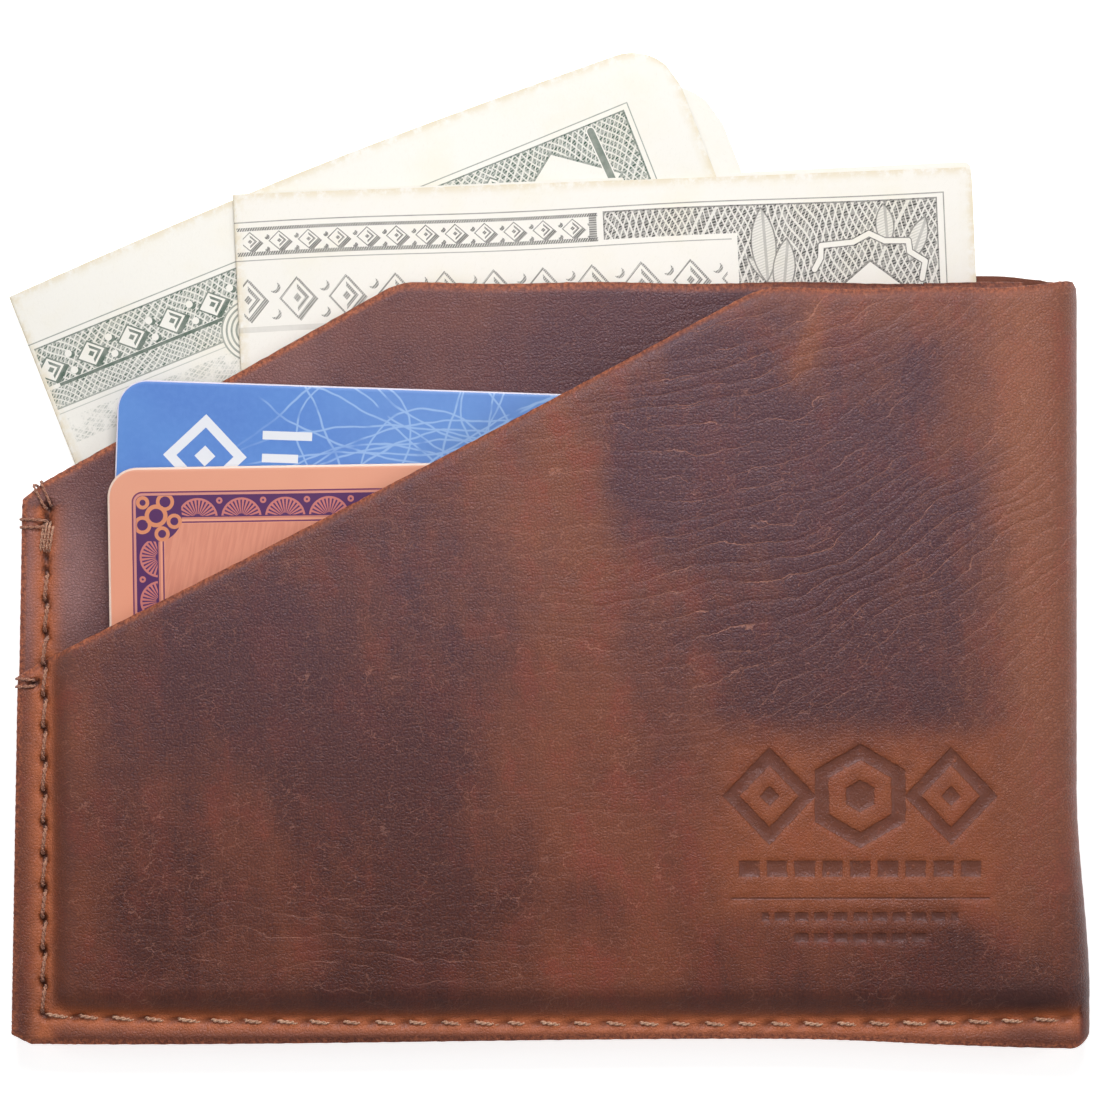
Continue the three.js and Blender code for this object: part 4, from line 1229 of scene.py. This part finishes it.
def green_note_material():
    """The same sort of note from its other side, printed in green."""
    s = note_shader("note_rear_paper", (233, 230, 223), (231, 225, 209))
    s.v = s.v + s.u * 0.0105
    frame = most(s.v.near(5.53, 0.12) * s.u.less(68.3), s.u.near(68.25, 0.12) * s.v.more(5.5))
    face, shade, core = beads(s, 7.3, 10.3, 4.6, 1.0)
    upper, left = s.v.between(6.1, 10.4), s.u.less(52)
    fuzz = s.v.between(14.2, 16.9) * s.noise(1.7, 4, 0.7, (0.7, 1.3)).ramp(0.38, 0.62)
    ink = most(
        upper * engraved(s, 0.7, 0.8, 0.46) * (1.0 - face),
        upper * most(shade * 0.85, face * core * 0.8),
        s.v.between(6.1, 6.22) * 0.6,
        s.v.between(10.45, 10.8) * 0.85 * s.u.between(1.6, 52),
        s.v.between(10.8, 12.85) * engraved(s, 0.6, 0.9, 0.42) * left,
        most(s.v.between(12.85, 13.0) * 0.6, s.v.near(13.5, 0.1) * 0.35) * left,
        fuzz * engraved(s, 0.8, 1.6, 0.3) * 0.6 * s.u.between(1.0, 51),
    )
    spiral = distance(s.u - 22.6, s.v - 12.9)
    ink = cleared(ink, spiral.less(3.3), hatch(spiral, 0.52, 0.42) * 0.6)

    # The panel at the right, with a pale lozenge in it.
    ink = cleared(ink, s.u.between(52.5, 67.7) * s.v.between(6.1, 40), engraved(s, 0.66, 0.7, 0.5))
    lozenge = (s.u - 58.8).abs() * 0.75 + (s.v - 12.2).abs()
    ink = cleared(ink.max(lozenge.less(4.9) * 0.6), lozenge.less(4.6))
    bar, bar_edge = stroke(s, ((63.6, 6.9), (63.9, 12.5)), 0.75)
    edge = most(s.v.between(6.1, 6.24), s.u.between(67.5, 67.7)) * s.v.more(6.1)
    ink = most(cleared(ink, bar_edge), bar * 0.75, edge * 0.75) * s.u.between(0.4, 67.7)
    return printed(s, ink, frame, (58, 84, 70), 0.75)


# ---- The picture ----

def make_camera():
    """Straight above the wallet, with a long lens."""
    lens, sensor = 150.0, 36.0
    seen, level = 115.8, 4.0  # this much fills the view, at the leather's height
    data = bpy.data.cameras.new("camera")
    data.lens, data.sensor_width = lens, sensor
    data.clip_start, data.clip_end = 0.01, 20
    camera = bpy.data.objects.new("camera", data)
    bpy.context.scene.collection.objects.link(camera)
    camera.location = (0.16 * MM, -0.05 * MM, (level + seen * lens / sensor) * MM)
    bpy.context.scene.camera = camera


def make_light(name, power, size, place):
    """A square lamp that faces the wallet. Its size and place are in metres."""
    data = bpy.data.lights.new(name, "AREA")
    data.energy, data.size = power, size
    lamp = bpy.data.objects.new(name, data)
    bpy.context.scene.collection.objects.link(lamp)
    lamp.location = place
    lamp.rotation_euler = (Vector((0.0, -0.01, 0.0)) - Vector(place)).to_track_quat("-Z", "Y").to_euler()


def make_floor():
    """A white table that glows a little, like a lit tracing table, so that shadows on it stay pale."""
    s = Shader("floor", roughness=0.9, specular=0.1)
    s.painted = s.mix(s.noise(120, 2, 0.5) * 0.3, (231.1, 231.1, 231.1), (228.5, 229.2, 229.8))
    s.surface.inputs["Emission Color"].default_value = (1, 1, 1, 1)
    s.surface.inputs["Emission Strength"].default_value = 0.66
    side, level = 1500.0, -0.05
    corners = [(x * side, y * side, level) for x, y in ((-1, -1), (1, -1), (1, 1), (-1, 1))]
    floor = make_object("floor", corners, [(0, 1, 2, 3)], [c[:2] for c in corners], s.finished())


def make_studio():
    make_camera()
    make_floor()
    world = bpy.data.worlds.new("studio")
    world.use_nodes = True
    sky = world.node_tree.nodes["Background"]
    sky.inputs["Color"].default_value = (1.0, 1.0, 1.0, 1)
    sky.inputs["Strength"].default_value = 0.06
    bpy.context.scene.world = world
    for name, power, size, place in (
            ("key", 0.72, 0.14, (0.0, 0.17, 0.22)), ("side_left", 0.50, 0.30, (-0.36, -0.02, 0.30)),
            ("side_right", 0.55, 0.30, (0.36, -0.02, 0.30)), ("front", 0.20, 0.30, (0.0, -0.36, 0.30))):
        make_light(name, power, size, place)
    bpy.context.scene.view_settings.view_transform = "Standard"


def make_wallet():
    wrap, divider = make_wrap(), make_divider()
    stitches_front, stitches_back, thread = make_stitches()
    pieces = [(wrap, "outer_wrap", "outer_leather"), (divider, "divider_panel", "divider_leather"),
              (stitches_front, "seam_thread_front", "thread"), (stitches_back, "seam_thread_back", "thread")]
    pieces += [(make_wrap_thread(name, thread), name, "thread") for name in WRAPS]
    for piece, node, slot in pieces:
        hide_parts(node)
        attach(piece, "wallet")


def make_contents():
    for name, label, make_material, body, slot in (
            ("card_front", "card_orange", orange_material, "front_card", "orange_card"),
            ("card_rear", "card_blue", blue_material, "rear_card", "blue_card")):
        low, _ = node_box(name)
        x, y, tilt = CARD_PLACES[name]
        card = placed(make_card(label, make_material()), x, y, low[2], tilt)
        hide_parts(name)
        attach(card, body)
    # A note's top edge bows up by bow, and its free part waves and curls by about curl.
    for name, label, make_material, body, bow, curl in (
            ("note_front", "banknote_front", grey_note_material, "front_note", 0.0, 0.35),
            ("note_rear", "banknote_rear", green_note_material, "rear_note", 1.0, 0.5)):
        note = make_note(name, label, make_material(), bow, curl)
        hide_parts(name)
        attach(note, body)


make_studio()
make_wallet()
make_contents()
